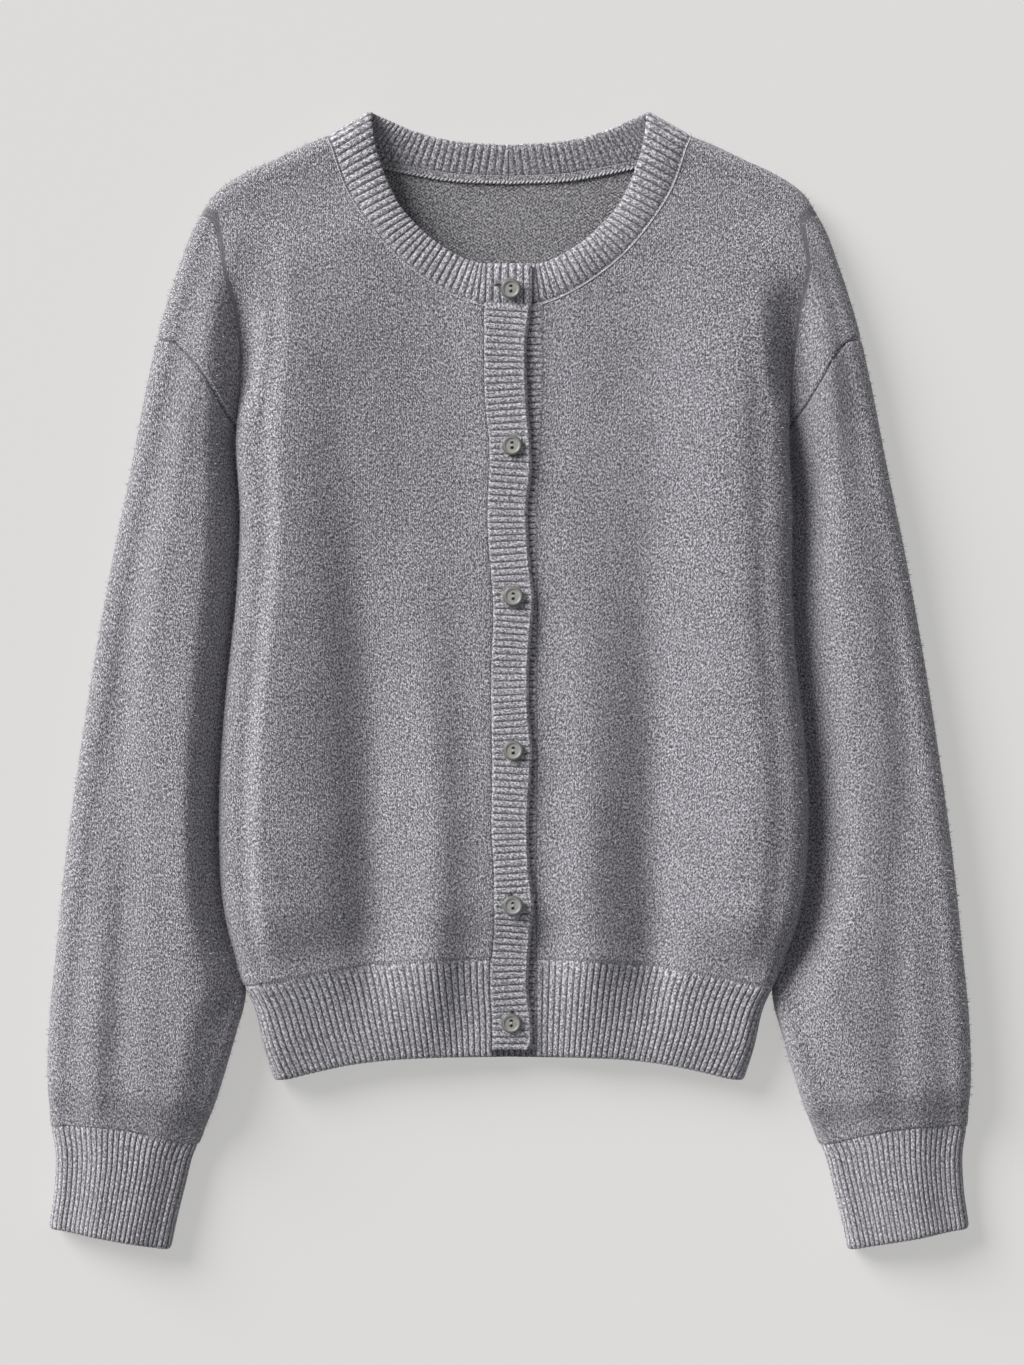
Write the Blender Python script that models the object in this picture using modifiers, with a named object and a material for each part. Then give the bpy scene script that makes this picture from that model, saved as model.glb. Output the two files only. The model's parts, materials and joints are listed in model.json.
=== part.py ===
"""Knitted button cardigan, laid flat on its back and buttoned down the front.

+X is the wearer's left, +Y runs up to the neck, +Z is up off the surface it lies on.
The tables hold real sizes in millimetres for one half of the garment, measured across
from the centre front and up from the origin; meshes are made in metres.  Both halves
come from the same tables, and only the folds and the front overlap differ by side.
"""

import math

import bmesh
import bpy
import numpy as np
from mathutils import Matrix

NAME = "button_cardigan"
CUTTERS = "cutters"
MM = 0.001

# Cloth
WALL = 2.4
SEAM_GAP = 0.3
RIB_RISE = 0.8
RIB_SINK = 0.3
HEM_RIBS = 44
CUFF_RIBS = 42
PLACKET_RIB_PITCH = 4.1
NECK_RIB_PITCH = 4.7

# Front overlap: the right front's placket lies over the left front's
BANDS = (
    # up, seam of the top band, how far its free edge passes the centre, seam of the under one
    (245.0, 15.3, 13.6, 21.0),
    (232.0, 15.3, 13.4, 21.0),
    (215.0, 15.3, 11.0, 21.0),
    (190.0, 15.3, 10.4, 21.2),
    (168.0, 14.4, 11.4, 20.6),
    (145.0, 12.2, 13.2, 19.2),
    (131.0, 12.0, 13.6, 18.2),
    (108.0, 13.2, 11.2, 17.4),
    (90.0, 13.0, 11.5, 17.2),
    (67.0, 11.2, 13.2, 17.0),
    (51.0, 10.0, 15.0, 17.0),
    (34.0, 9.8, 13.8, 17.0),
    (14.0, 10.7, 12.3, 17.0),
    (-20.0, 10.8, 12.1, 17.0),
    (-44.0, 10.4, 14.0, 17.0),
    (-66.0, 10.4, 12.6, 17.0),
    (-90.0, 10.8, 11.8, 16.8),
    (-118.0, 9.3, 12.6, 16.4),
    (-139.0, 9.1, 14.8, 16.2),
    (-156.0, 9.4, 13.3, 16.4),
    (-176.0, 11.5, 12.0, 17.2),
    (-192.0, 11.5, 11.6, 17.2),
    (-211.0, 10.5, 13.8, 17.0),
    (-230.0, 10.5, 14.2, 17.0),
)
UNDER_BAND_REACH = 9.0
LAP_UP = 1.8
LAP_DOWN = 1.9
LAP_FADE = 25.0
PLACKET_TOP_UP = 232.2
PLACKET_FOOT_UP = -229.4
PLACKET_CORNER = 3.0

# Buttons
BUTTON_DIAMETER = 12.5
BUTTON_THICKNESS = 2.8
BUTTON_DISH = 0.9
BUTTON_RIM = 1.6
HOLE_DIAMETER = 1.6
HOLE_SPACING = 3.0
BUTTON_LIFT = 0.9
BUTTON_SEGMENTS = 14
HOLE_SEGMENTS = 6
BUTTONHOLE = (1.4, 2.6)
BUTTONHOLE_LENGTH = 15.0
BUTTONS = (
    # across, up
    (1.2, 241.2),
    (1.9, 144.5),
    (2.6, 51.5),
    (2.6, -43.4),
    (2.4, -138.9),
    (1.4, -212.0),
)

# Outline of shoulder and sleeve, from the neck down to the end of the cuff
OUTLINE = (
    # across, up
    (86.0, 352.5),
    (111.0, 339.0),
    (127.1, 332.3),
    (147.9, 322.4),
    (161.8, 316.2),
    (174.5, 308.8),
    (183.5, 301.5),
    (191.0, 289.5),
    (197.5, 277.5),
    (203.5, 261.0),
    (209.7, 242.7),
    (215.9, 222.0),
    (224.3, 185.4),
    (235.5, 127.1),
    (245.2, 80.6),
    (256.5, 18.6),
    (266.2, -43.4),
    (274.7, -105.4),
    (281.0, -166.0),
    (285.8, -218.0),
    (286.4, -250.0),
    (284.3, -275.9),
    (281.6, -293.0),
    (282.2, -315.0),
    (285.5, -339.8),
    (286.5, -352.0),
)

# Side of the body.  Above the armhole "across" is the bottom of the fold between the
# body and the dropped shoulder; below it, where the front rolls round to the side seam.
SIDE = (
    # up, across, reach of the roll, height at the edge, at the side ridge, at the centre
    (320.0, 186.0, 30.0, 19.0, 20.0, 20.0),
    (303.0, 183.0, 30.0, 20.0, 21.0, 22.0),
    (274.0, 177.0, 28.0, 24.0, 25.5, 24.0),
    (251.0, 173.6, 25.0, 26.0, 29.0, 25.0),
    (232.0, 168.6, 22.0, 27.0, 31.5, 25.5),
    (206.0, 165.2, 18.0, 28.0, 33.5, 26.0),
    (181.0, 164.0, 15.0, 28.0, 35.0, 26.5),
    (157.0, 163.4, 14.0, 28.0, 36.0, 27.0),
    (111.0, 165.0, 14.5, 29.0, 37.0, 27.5),
    (50.0, 169.5, 15.0, 30.0, 38.0, 28.0),
    (-12.0, 176.0, 15.0, 30.0, 38.5, 28.5),
    (-74.0, 180.0, 15.0, 30.0, 39.0, 29.0),
    (-105.0, 179.8, 15.0, 30.0, 39.0, 29.0),
    (-136.0, 177.8, 14.8, 30.0, 38.5, 29.0),
    (-152.0, 175.0, 14.2, 30.0, 38.0, 29.0),
    (-167.0, 171.0, 13.0, 30.0, 38.0, 29.0),
    (-183.0, 166.3, 11.2, 30.0, 38.0, 29.0),
    (-190.0, 163.4, 10.4, 30.0, 38.0, 29.0),
    (-200.0, 158.6, 10.0, 30.0, 38.0, 29.0),
    (-229.0, 151.6, 8.5, 30.0, 38.0, 29.0),
    (-249.0, 145.2, 7.4, 30.0, 38.0, 29.0),
)
RIDGE_IN = 34.0
RIDGE_FALL = 78.0
SHOULDER_RISE = 62.0

# Lower edges: where the hem band is joined on, and its free edge
HEM = (
    # across, up at the seam, up at the front's free edge, up at the back's
    (0.0, -171.7, -231.0, -235.0),
    (40.0, -172.3, -232.3, -235.5),
    (75.0, -174.5, -233.4, -236.0),
    (99.0, -177.5, -236.2, -237.5),
    (123.0, -181.5, -242.2, -242.0),
    (137.0, -184.3, -246.4, -246.0),
    (150.0, -187.0, -248.6, -248.6),
    (166.0, -189.5, -249.0, -249.0),
)
HEM_CORNER = 15.0
HEM_SHARES = (0.0, 0.5, 1.0)
HEM_SIDE_UP = -189.2
HEM_FOOT_UP = -248.8
LOWER_ROLL_RADIUS = 11.0
HEM_HEIGHT = 21.0
HEM_SLOPE = 0.105
HEM_BLOUSE = 22.0

# Inner side of the sleeve, and its heights
ARM = (
    # up, across where its top begins, reach of its inner roll, height there, crest, outer
    (320.0, 186.0, 0.5, 19.0, 20.0, 19.0),
    (303.0, 183.0, 0.5, 19.5, 21.5, 19.0),
    (274.0, 177.0, 0.5, 20.5, 25.0, 20.0),
    (251.0, 173.6, 0.5, 18.0, 27.5, 21.5),
    (232.0, 168.6, 0.5, 15.5, 29.0, 22.5),
    (206.0, 165.2, 0.5, 14.0, 30.5, 24.0),
    (181.0, 164.0, 0.5, 13.2, 31.0, 24.0),
    (157.0, 163.3, 0.2, 12.8, 31.5, 24.0),
    (146.0, 163.8, 1.2, 11.0, 31.5, 24.0),
    (132.0, 164.2, 2.6, 9.0, 31.5, 24.0),
    (108.0, 165.6, 3.2, 7.4, 31.5, 24.0),
    (50.0, 169.9, 3.2, 7.2, 31.5, 24.0),
    (-12.0, 176.4, 3.2, 7.2, 31.5, 24.0),
    (-74.0, 180.4, 3.2, 7.2, 32.0, 24.0),
    (-105.0, 180.2, 3.2, 7.2, 32.0, 24.0),
    (-136.0, 178.2, 3.2, 7.2, 32.5, 24.0),
    (-167.0, 171.9, 3.2, 7.2, 33.0, 24.0),
    (-183.0, 167.9, 3.6, 7.6, 33.0, 24.0),
    (-191.0, 168.2, 4.8, 9.6, 33.0, 24.0),
    (-201.0, 171.0, 6.6, 13.2, 33.0, 24.0),
    (-216.0, 177.0, 8.4, 16.8, 32.5, 23.5),
    (-245.0, 186.0, 9.0, 18.0, 31.0, 22.5),
    (-268.0, 193.6, 9.0, 18.0, 30.0, 21.5),
    (-283.0, 199.4, 8.6, 17.2, 30.0, 21.0),
    (-292.0, 204.0, 8.0, 16.0, 30.0, 21.0),
    (-310.0, 208.8, 8.0, 16.0, 30.0, 21.0),
    (-331.0, 214.0, 8.0, 16.0, 30.0, 21.0),
    (-352.0, 218.5, 8.0, 16.0, 30.0, 21.0),
)
ARM_RISE = 27.0
ARM_FALL = 24.0
CUFF_LOW = 16.0
CUFF_CREST = 19.5
CUFF_OUTER = 16.0
CUFF_BLOUSE = 20.0
CUFF_SEAM = ((284.3, -275.9), (195.6, -291.4))

# Rings round the sleeve, from the armhole to the end of the cuff
SLEEVE_RINGS = (
    # up at the inner edge, up at the outer edge
    (157.0, 217.8),
    (145.0, 195.0),
    (130.0, 169.0),
    (104.0, 133.0),
    (68.0, 88.0),
    (22.0, 34.0),
    (-28.0, -22.0),
    (-76.0, -71.0),
    (-118.0, -112.0),
    (-150.0, -143.0),
    (-174.0, -166.0),
    (-191.0, -182.0),
    (-210.0, -200.0),
    (-238.0, -226.0),
    (-262.0, -248.0),
    (-279.0, -264.5),
    (-291.4, -275.9),
)
CUFF_RINGS = (
    # up at the inner edge, up at the outer edge
    (-291.4, -275.9),
    (-310.0, -295.0),
    (-331.0, -317.0),
    (-351.5, -339.8),
)

# Seam between the dropped shoulder and the sleeve, from the underarm outwards
ARMHOLE = (
    # across, up
    (163.3, 157.0),
    (167.5, 162.2),
    (173.0, 169.0),
    (181.0, 180.5),
    (190.0, 192.0),
    (200.0, 202.5),
    (210.0, 211.5),
    (218.0, 218.3),
)

# Seam between the neckband and the front, from the placket to the shoulder
NECK_FRONT = (
    # across, up
    (12.0, 232.0),
    (15.0, 232.5),
    (22.5, 234.6),
    (34.1, 239.3),
    (52.7, 250.5),
    (71.9, 266.6),
    (88.5, 287.0),
    (98.6, 303.5),
    (106.2, 324.0),
    (110.6, 339.2),
)
# The same seam behind, on the back, from the centre to the shoulder
NECK_BACK = (
    # across, up
    (0.0, 314.3),
    (39.4, 316.4),
    (62.0, 320.4),
    (86.0, 325.2),
)
# Free edge of the neckband on its outer face, by length along the seam from the shoulder
# fold: forwards to the placket, backwards to the centre back
NECK_EDGE = (
    # run, across, up, height
    (-125.0, 0.0, 332.6, 10.0),
    (-84.0, 38.0, 335.6, 10.0),
    (-56.0, 60.0, 341.4, 9.6),
    (-34.0, 73.0, 346.8, 9.0),
    (-16.0, 81.5, 350.6, 9.0),
    (-6.0, 85.2, 352.2, 11.0),
    (0.0, 86.2, 352.6, 14.0),
    (6.0, 86.0, 349.5, 17.4),
    (15.0, 85.0, 341.0, 19.8),
    (29.0, 82.0, 326.0, 20.4),
    (43.0, 77.2, 312.0, 21.0),
    (57.0, 71.6, 299.6, 21.8),
    (71.0, 64.6, 289.0, 22.6),
    (85.0, 57.2, 281.0, 23.2),
    (99.0, 49.8, 274.0, 23.8),
    (113.0, 40.8, 267.2, 24.2),
    (127.0, 30.6, 261.2, 24.5),
    (141.0, 21.0, 257.6, 24.7),
    (155.5, 13.5, 256.4, 24.8),
)
NECK_BAND_END = ((-1, -13.6), (1, -9.0))
NECK_BAND_BULGE = 1.2

TAPE_WIDTH = 5.6
TAPE_THICKNESS = 1.0
TAPE_REACH = 92.0

# Soft folds raised or sunk in the front and the sleeves
FOLDS = (
    # side, across and up at three places down the fold, half width, rise at each place
    (-1, (111.0, 174.0), (90.0, -12.0), (77.5, -155.0), 23.0, (-1.5, -4.5, -7.0)),
    (-1, (60.0, 50.0), (49.0, -70.0), (43.0, -160.0), 17.0, (0.0, 2.5, 3.5)),
    (1, (50.0, 50.0), (55.0, -70.0), (58.0, -160.0), 17.0, (0.0, 2.5, 3.5)),
    (1, (72.0, 100.0), (88.0, -43.0), (99.0, -160.0), 20.0, (-0.8, -4.0, -7.0)),
    (-1, (233.0, 100.0), (241.0, -74.0), (247.0, -230.0), 12.0, (-1.5, -3.5, -3.0)),
    (1, (237.0, 120.0), (244.0, -43.0), (240.0, -230.0), 12.0, (-1.5, -3.0, -3.0)),
)
FOLD_FADE = 45.0

# How finely each wall is divided
FRONT_INNER_CELLS = 9
FRONT_TROUGH_COLUMN = 5
ROLL_CELLS = 3
CAP_CELLS = 4
LOWER_ROWS = 12
PLACKET_ROWS = 3
PLACKET_ROW_UP = 150.0
NECK_ROWS = 10
WRAP_ROWS = 6
WRAP_FLAT = 2.0
UNDERARM_REACH = 1.2
UNDERARM_CORNER = ((161.6, 156.2), (155.0, 133.0))

KNIT_COLOUR = (0.262, 0.252, 0.276, 1.0)
RIB_COLOUR = (0.235, 0.226, 0.250, 1.0)
TAPE_COLOUR = (0.255, 0.246, 0.270, 1.0)
BUTTON_COLOUR = (0.205, 0.215, 0.205, 1.0)


# ---------------------------------------------------------------- curves and surfaces


def smoothstep(value):
    """Ease from 0 to 1, level at both ends."""
    value = np.clip(value, 0.0, 1.0)
    return value * value * (3.0 - 2.0 * value)


def mix(low, high, share):
    return low + (high - low) * share


def hermite(stations, values, at):
    """Smooth curve through a table's values; stations rise, values may be points."""
    stations = np.asarray(stations, float)
    values = np.asarray(values, float)
    slopes = np.gradient(values, stations, axis=0)
    at = np.clip(np.asarray(at, float), stations[0], stations[-1])
    cell = np.clip(np.searchsorted(stations, at, side="right") - 1, 0, len(stations) - 2)
    width = stations[cell + 1] - stations[cell]
    t = (at - stations[cell]) / width
    if values.ndim > 1:
        t = t[..., None]
        width = width[..., None]
    a, b = values[cell], values[cell + 1]
    ma, mb = slopes[cell] * width, slopes[cell + 1] * width
    return (
        a * (2 * t**3 - 3 * t**2 + 1)
        + ma * (t**3 - 2 * t**2 + t)
        + b * (3 * t**2 - 2 * t**3)
        + mb * (t**3 - t**2)
    )


def column(table, index):
    """A table's column as a smooth function of its first column."""
    rows = sorted(table)
    stations = [row[0] for row in rows]
    values = [row[index] for row in rows]
    return lambda at: hermite(stations, values, at)


def trace(points, count):
    """Points evenly spaced along a smooth curve through a table's points."""
    points = np.asarray(points, float)
    chords = np.linalg.norm(np.diff(points, axis=0), axis=1)
    along = np.concatenate([[0.0], np.cumsum(chords)])
    return hermite(along, points, np.linspace(0.0, along[-1], count))


def lengths(points):
    """Running length along a polyline."""
    steps = np.linalg.norm(np.diff(points, axis=0), axis=1)
    return np.concatenate([[0.0], np.cumsum(steps)])


def along(points, at):
    """Points of a polyline at running lengths."""
    run = lengths(points)
    return np.stack([np.interp(at, run, points[:, k]) for k in range(points.shape[1])], -1)


side_across, side_reach, side_edge, side_ridge, side_centre = (
    column(SIDE, k) for k in range(1, 6)
)
hem_seam, hem_front_edge, hem_back_edge = (column(HEM, k) for k in range(1, 4))
arm_start, arm_reach, arm_low, arm_crest, arm_outer = (column(ARM, k) for k in range(1, 6))
top_seam, top_free, under_seam = (column(BANDS, k) for k in range(1, 4))

OUTLINE_POINTS = trace(OUTLINE, 1500)
OUTLINE_TANGENTS = np.gradient(OUTLINE_POINTS, axis=0)
OUTLINE_TANGENTS /= np.linalg.norm(OUTLINE_TANGENTS, axis=1)[:, None]
OUTLINE_INWARD = np.stack([OUTLINE_TANGENTS[:, 1], -OUTLINE_TANGENTS[:, 0]], -1)


def outline_distance(x, y):
    """Distance in from the outline, the nearest point on it and the way in."""
    p = np.stack([np.ravel(x), np.ravel(y)], -1).astype(float)
    near = np.empty(len(p), int)
    for start in range(0, len(p), 2000):
        block = p[start : start + 2000]
        gaps = ((block[:, None, :] - OUTLINE_POINTS[None]) ** 2).sum(-1)
        near[start : start + 2000] = gaps.argmin(1)
    inward = OUTLINE_INWARD[near]
    step = p - OUTLINE_POINTS[near]
    slide = (step * OUTLINE_TANGENTS[near]).sum(1)
    foot = OUTLINE_POINTS[near] + OUTLINE_TANGENTS[near] * slide[:, None]
    distance = (step * inward).sum(1)
    shape = np.shape(x)
    return distance.reshape(shape), foot.reshape(shape + (2,)), inward.reshape(shape + (2,))


def folds_height(x, y, side):
    """Sum of the soft folds of one side at a place."""
    height = np.zeros(np.shape(x))
    for fold_side, first, middle, last, half_width, rises in FOLDS:
        if fold_side != side:
            continue
        places = sorted([(first, rises[0]), (middle, rises[1]), (last, rises[2])],
                        key=lambda place: place[0][1])
        ups = [place[0][1] for place in places]
        across = hermite(ups, [place[0][0] for place in places], y)
        rise = hermite(ups, [place[1] for place in places], y)
        ends = smoothstep((y - ups[0]) / FOLD_FADE + 1.0) * smoothstep(
            (ups[2] - y) / FOLD_FADE + 1.0
        )
        height = height + rise * ends * np.exp(-(((x - across) / half_width) ** 2))
    return height


def cuff_height_share(x, y):
    """1 on the sleeve, falling to 0 where the cuff is joined on."""
    (ox, oy), (ix, iy) = CUFF_SEAM
    run = math.hypot(ox - ix, oy - iy)
    up_x, up_y = -(oy - iy) / run, (ox - ix) / run
    return smoothstep(((x - ix) * up_x + (y - iy) * up_y) / CUFF_BLOUSE)


def outer_height(x, y):
    return mix(CUFF_OUTER, arm_outer(y), cuff_height_share(x, y))


def band_seam(y, side):
    """Where a front is joined to its band."""
    return top_seam(y) if side < 0 else under_seam(y)


def lap_lift(x, y, side):
    """How far the front overlap lifts one front and sinks the other."""
    lift = LAP_UP if side < 0 else -LAP_DOWN
    return lift * (1.0 - smoothstep((x - band_seam(y, side)) / LAP_FADE))


def body_top(x, y, side):
    """Height of the front's outer face inside the side folds."""
    inside = side_across(y) - side_reach(y) - x
    edge, ridge, centre = side_edge(y), side_ridge(y), side_centre(y)
    height = edge + (ridge - edge) * smoothstep(inside / RIDGE_IN)
    height = height - (ridge - centre) * smoothstep((inside - RIDGE_IN) / RIDGE_FALL)
    height = height + folds_height(x, y, side)
    distance, _, _ = outline_distance(x, y)
    outer = arm_outer(y)
    height = mix(outer, height, smoothstep((distance - outer / 2) / SHOULDER_RISE))
    above = y - hem_seam(x)
    hem = HEM_HEIGHT + HEM_SLOPE * np.minimum(above, 0.0)
    height = mix(hem, height, smoothstep(above / HEM_BLOUSE))
    return height + lap_lift(x, y, side)


def arm_top(x, y, side):
    """Height of the outer face outside the side folds, down to the cuff."""
    share = cuff_height_share(x, y)
    low = mix(CUFF_LOW, arm_low(y), share)
    crest = mix(CUFF_CREST, arm_crest(y), share)
    outer = mix(CUFF_OUTER, arm_outer(y), share)
    distance, _, _ = outline_distance(x, y)
    top = outer + (crest - outer) * smoothstep((distance - outer / 2) / ARM_FALL)
    top = top + folds_height(x, y, side) * share
    rise = np.sin(np.clip((x - arm_start(y)) / ARM_RISE, 0.0, 1.0) * math.pi / 2)
    return low + (top - low) * rise


def form_top(x, y, side):
    """Height of the outer face above the underarm, with the fold beside the body."""
    fold = side_across(y)
    body = body_top(x, y, side)
    into_fold = smoothstep(1.0 - (fold - x) / side_reach(y))
    body = mix(body, arm_low(y), into_fold)
    return np.where(x < fold, body, arm_top(np.maximum(x, fold), y, side))


def wrapped(x, y, side):
    """Outer face at a place in the unrolled plan, rolled under at the outline."""
    distance, foot, inward = outline_distance(x, y)
    reach = outer_height(foot[..., 0], foot[..., 1]) / 2
    inside = distance >= reach
    base = foot + inward * reach[..., None]
    bx = np.where(inside, x, base[..., 0])
    by = np.where(inside, y, base[..., 1])
    top = form_top(bx, by, side)
    radius = (reach + top / 2) / 2
    turn = np.where(inside, 0.0, (reach - distance) / radius)
    past = np.maximum(turn - math.pi, 0.0) * radius
    turn = np.clip(turn, 0.0, math.pi)
    out = past - reach * np.sin(turn)
    return np.stack(
        [
            bx + inward[..., 0] * out,
            by + inward[..., 1] * out,
            top / 2 * (1.0 + np.cos(turn)),
        ],
        -1,
    )


def roll_radius(y, side):
    height = body_top(side_across(y) - side_reach(y), y, side)
    return (side_reach(y) + height / 2) / 2


def rolled(u, y, side):
    """Outer face of the body at a place in the unrolled plan, rolled under at its side."""
    start = side_across(y) - side_reach(y)
    reach = side_reach(y)
    k = u - start
    x = start + np.minimum(k, 0.0)
    top = body_top(x, y, side)
    radius = roll_radius(y, side)
    turn = np.clip(np.maximum(k, 0.0) / radius, 0.0, math.pi)
    past = np.maximum(k - math.pi * radius, 0.0)
    return np.stack(
        [x + reach * np.sin(turn) - past, y + 0.0 * k, top / 2 * (1.0 + np.cos(turn))], -1
    )


UP = np.array([0.0, 0.0, 1.0])


def unit(vectors):
    return vectors / np.maximum(np.linalg.norm(vectors, axis=-1), 1e-9)[..., None]


def plan_normals(surface, a, b, side, step=0.6):
    """Outward normals of a surface given by two plan coordinates."""
    da = surface(a + step, b, side) - surface(a - step, b, side)
    db = surface(a, b + step, side) - surface(a, b - step, side)
    return unit(np.cross(da, db))


def grid_normals(points, closed=False):
    """Normals of a grid of rows and columns, rows running up and columns outwards."""
    down = np.gradient(points, axis=0)
    if closed:
        out = (np.roll(points, -1, axis=1) - np.roll(points, 1, axis=1)) / 2
    else:
        out = np.gradient(points, axis=1)
    return unit(np.cross(out, down))


# ---------------------------------------------------------------- walls


def every(count, step, keep=()):
    """Every step-th index up to the last, with some kept."""
    return sorted(set(range(0, count, step)) | {count - 1} | set(keep))


def edge_strips(outer_ids, inner_ids, outer_marks, inner_marks):
    """Faces that close a wall along one edge, between marks both faces share."""
    shared = sorted(set(outer_marks) & set(inner_marks))
    faces = []
    for a, b in zip(shared, shared[1:]):
        face = [outer_ids[m] for m in outer_marks if a <= m <= b]
        face += [inner_ids[m] for m in reversed(inner_marks) if a <= m <= b]
        faces.append(face)
    return faces


def wall(name, collection, colour, outer, inner, outer_rows=None, outer_cols=None,
         inner_rows=None, inner_cols=None, closed=False, slits=(), mirror=False):
    """A closed cloth wall between two grids of points, in millimetres."""
    rows, cols = outer.shape[:2]
    full_rows, full_cols = list(range(rows)), list(range(cols))
    outer_rows = outer_rows or full_rows
    outer_cols = outer_cols or full_cols
    inner_rows = inner_rows or full_rows
    inner_cols = inner_cols or full_cols
    points, ids = [], ({}, {})
    faces = []
    for layer, (grid, some_rows, some_cols) in enumerate(
        ((outer, outer_rows, outer_cols), (inner, inner_rows, inner_cols))
    ):
        for i in some_rows:
            for j in some_cols:
                ids[layer][i, j] = len(points)
                points.append(grid[i, j])
        ring = some_cols + [some_cols[0]] if closed else some_cols
        for a, b in zip(some_rows, some_rows[1:]):
            for c, d in zip(ring, ring[1:]):
                if (a, c) in slits:
                    continue
                at = ids[layer]
                quad = [at[a, c], at[a, d], at[b, d], at[b, c]]
                faces.append(quad if layer == 0 else quad[::-1])
    outer_ids, inner_ids = ids
    for i in (0, rows - 1):
        o = {j: outer_ids[i, j] for j in outer_cols}
        n = {j: inner_ids[i, j] for j in inner_cols}
        marks_out, marks_in = list(outer_cols), list(inner_cols)
        if closed:
            o[cols], n[cols] = o[0], n[0]
            marks_out.append(cols)
            marks_in.append(cols)
        faces += edge_strips(o, n, marks_out, marks_in)
    if not closed:
        for j in (0, cols - 1):
            o = {i: outer_ids[i, j] for i in outer_rows}
            n = {i: inner_ids[i, j] for i in inner_rows}
            faces += edge_strips(o, n, outer_rows, inner_rows)
    for i, j in slits:
        rim = [(i, j), (i, j + 1), (i + 1, j + 1), (i + 1, j)]
        beside = [(i - 1, j), (i, j + 1), (i + 1, j), (i, j - 1)]
        for p, q, next_cell in zip(rim, rim[1:] + rim[:1], beside):
            if next_cell not in slits:
                faces.append([outer_ids[p], outer_ids[q], inner_ids[q], inner_ids[p]])
    points = np.array(points) * MM
    if mirror:
        points[:, 0] = -points[:, 0]
    return add_mesh(name, collection, colour, points.tolist(), faces)


def add_mesh(name, collection, colour, points, faces):
    """A named object from points and faces, its faces turned outwards."""
    mesh = bpy.data.meshes.new(name)
    mesh.from_pydata(points, [], faces)
    mesh.validate()
    piece = bpy.data.objects.new(name, mesh)
    collection.objects.link(piece)
    bpy.context.view_layer.objects.active = piece
    piece.select_set(True)
    bpy.ops.object.mode_set(mode="EDIT")
    bpy.ops.mesh.select_all(action="SELECT")
    bpy.ops.mesh.quads_convert_to_tris(quad_method="SHORTEST_DIAGONAL", ngon_method="BEAUTY")
    bpy.ops.mesh.normals_make_consistent(inside=False)
    bpy.ops.object.mode_set(mode="OBJECT")
    piece.select_set(False)
    mesh.shade_smooth()
    mesh.set_sharp_from_angle(angle=math.radians(40))
    mesh.materials.append(cloth_material(name, colour, 0.95))
    return piece


def cloth_material(name, colour, roughness):
    """A Principled material of one colour."""
    material = bpy.data.materials.new(name)
    material.use_nodes = True
    shader = material.node_tree.nodes["Principled BSDF"]
    shader.inputs["Base Color"].default_value = colour
    shader.inputs["Roughness"].default_value = roughness
    shader.inputs["Metallic"].default_value = 0.0
    return material


def flat_panel(name, collection, colour, outline, thickness, lowest=0.0):
    """A flat cloth panel cut to an outline: a 2D curve with depth, made a mesh."""
    curve = bpy.data.curves.new(name, "CURVE")
    curve.dimensions = "2D"
    curve.fill_mode = "BOTH"
    curve.extrude = thickness * MM / 2
    spline = curve.splines.new("POLY")
    spline.points.add(len(outline) - 1)
    for point, (x, y) in zip(spline.points, outline):
        point.co = (x * MM, y * MM, 0.0, 1.0)
    spline.use_cyclic_u = True
    drawn = bpy.data.objects.new(name + "_outline", curve)
    drawn.location.z = (lowest + thickness / 2) * MM
    collection.objects.link(drawn)
    bpy.context.view_layer.update()
    mesh = bpy.data.meshes.new_from_object(
        drawn.evaluated_get(bpy.context.evaluated_depsgraph_get())
    )
    mesh.name = name
    place = drawn.matrix_world.copy()
    bpy.data.objects.remove(drawn)
    bpy.data.curves.remove(curve)
    piece = bpy.data.objects.new(name, mesh)
    piece.matrix_world = place
    collection.objects.link(piece)
    weld_mesh(mesh)
    mesh.materials.clear()
    mesh.materials.append(cloth_material(name, colour, 0.95))
    return piece


def weld_mesh(mesh):
    """Merge a mesh's doubled points."""
    edit = bmesh.new()
    edit.from_mesh(mesh)
    bmesh.ops.remove_doubles(edit, verts=edit.verts, dist=0.00001)
    bmesh.ops.recalc_face_normals(edit, faces=edit.faces)
    edit.to_mesh(mesh)
    edit.free()


# ---------------------------------------------------------------- fronts


def lower_edge(u, edge, side_up):
    """Up along a lower edge, carried over the side roll and level beneath it."""
    reach = side_reach(side_up)
    start = side_across(side_up) - reach
    turn = np.clip((u - start) / LOWER_ROLL_RADIUS, 0.0, math.pi / 2)
    return edge(np.minimum(u, start) + reach * np.sin(turn))


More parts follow.
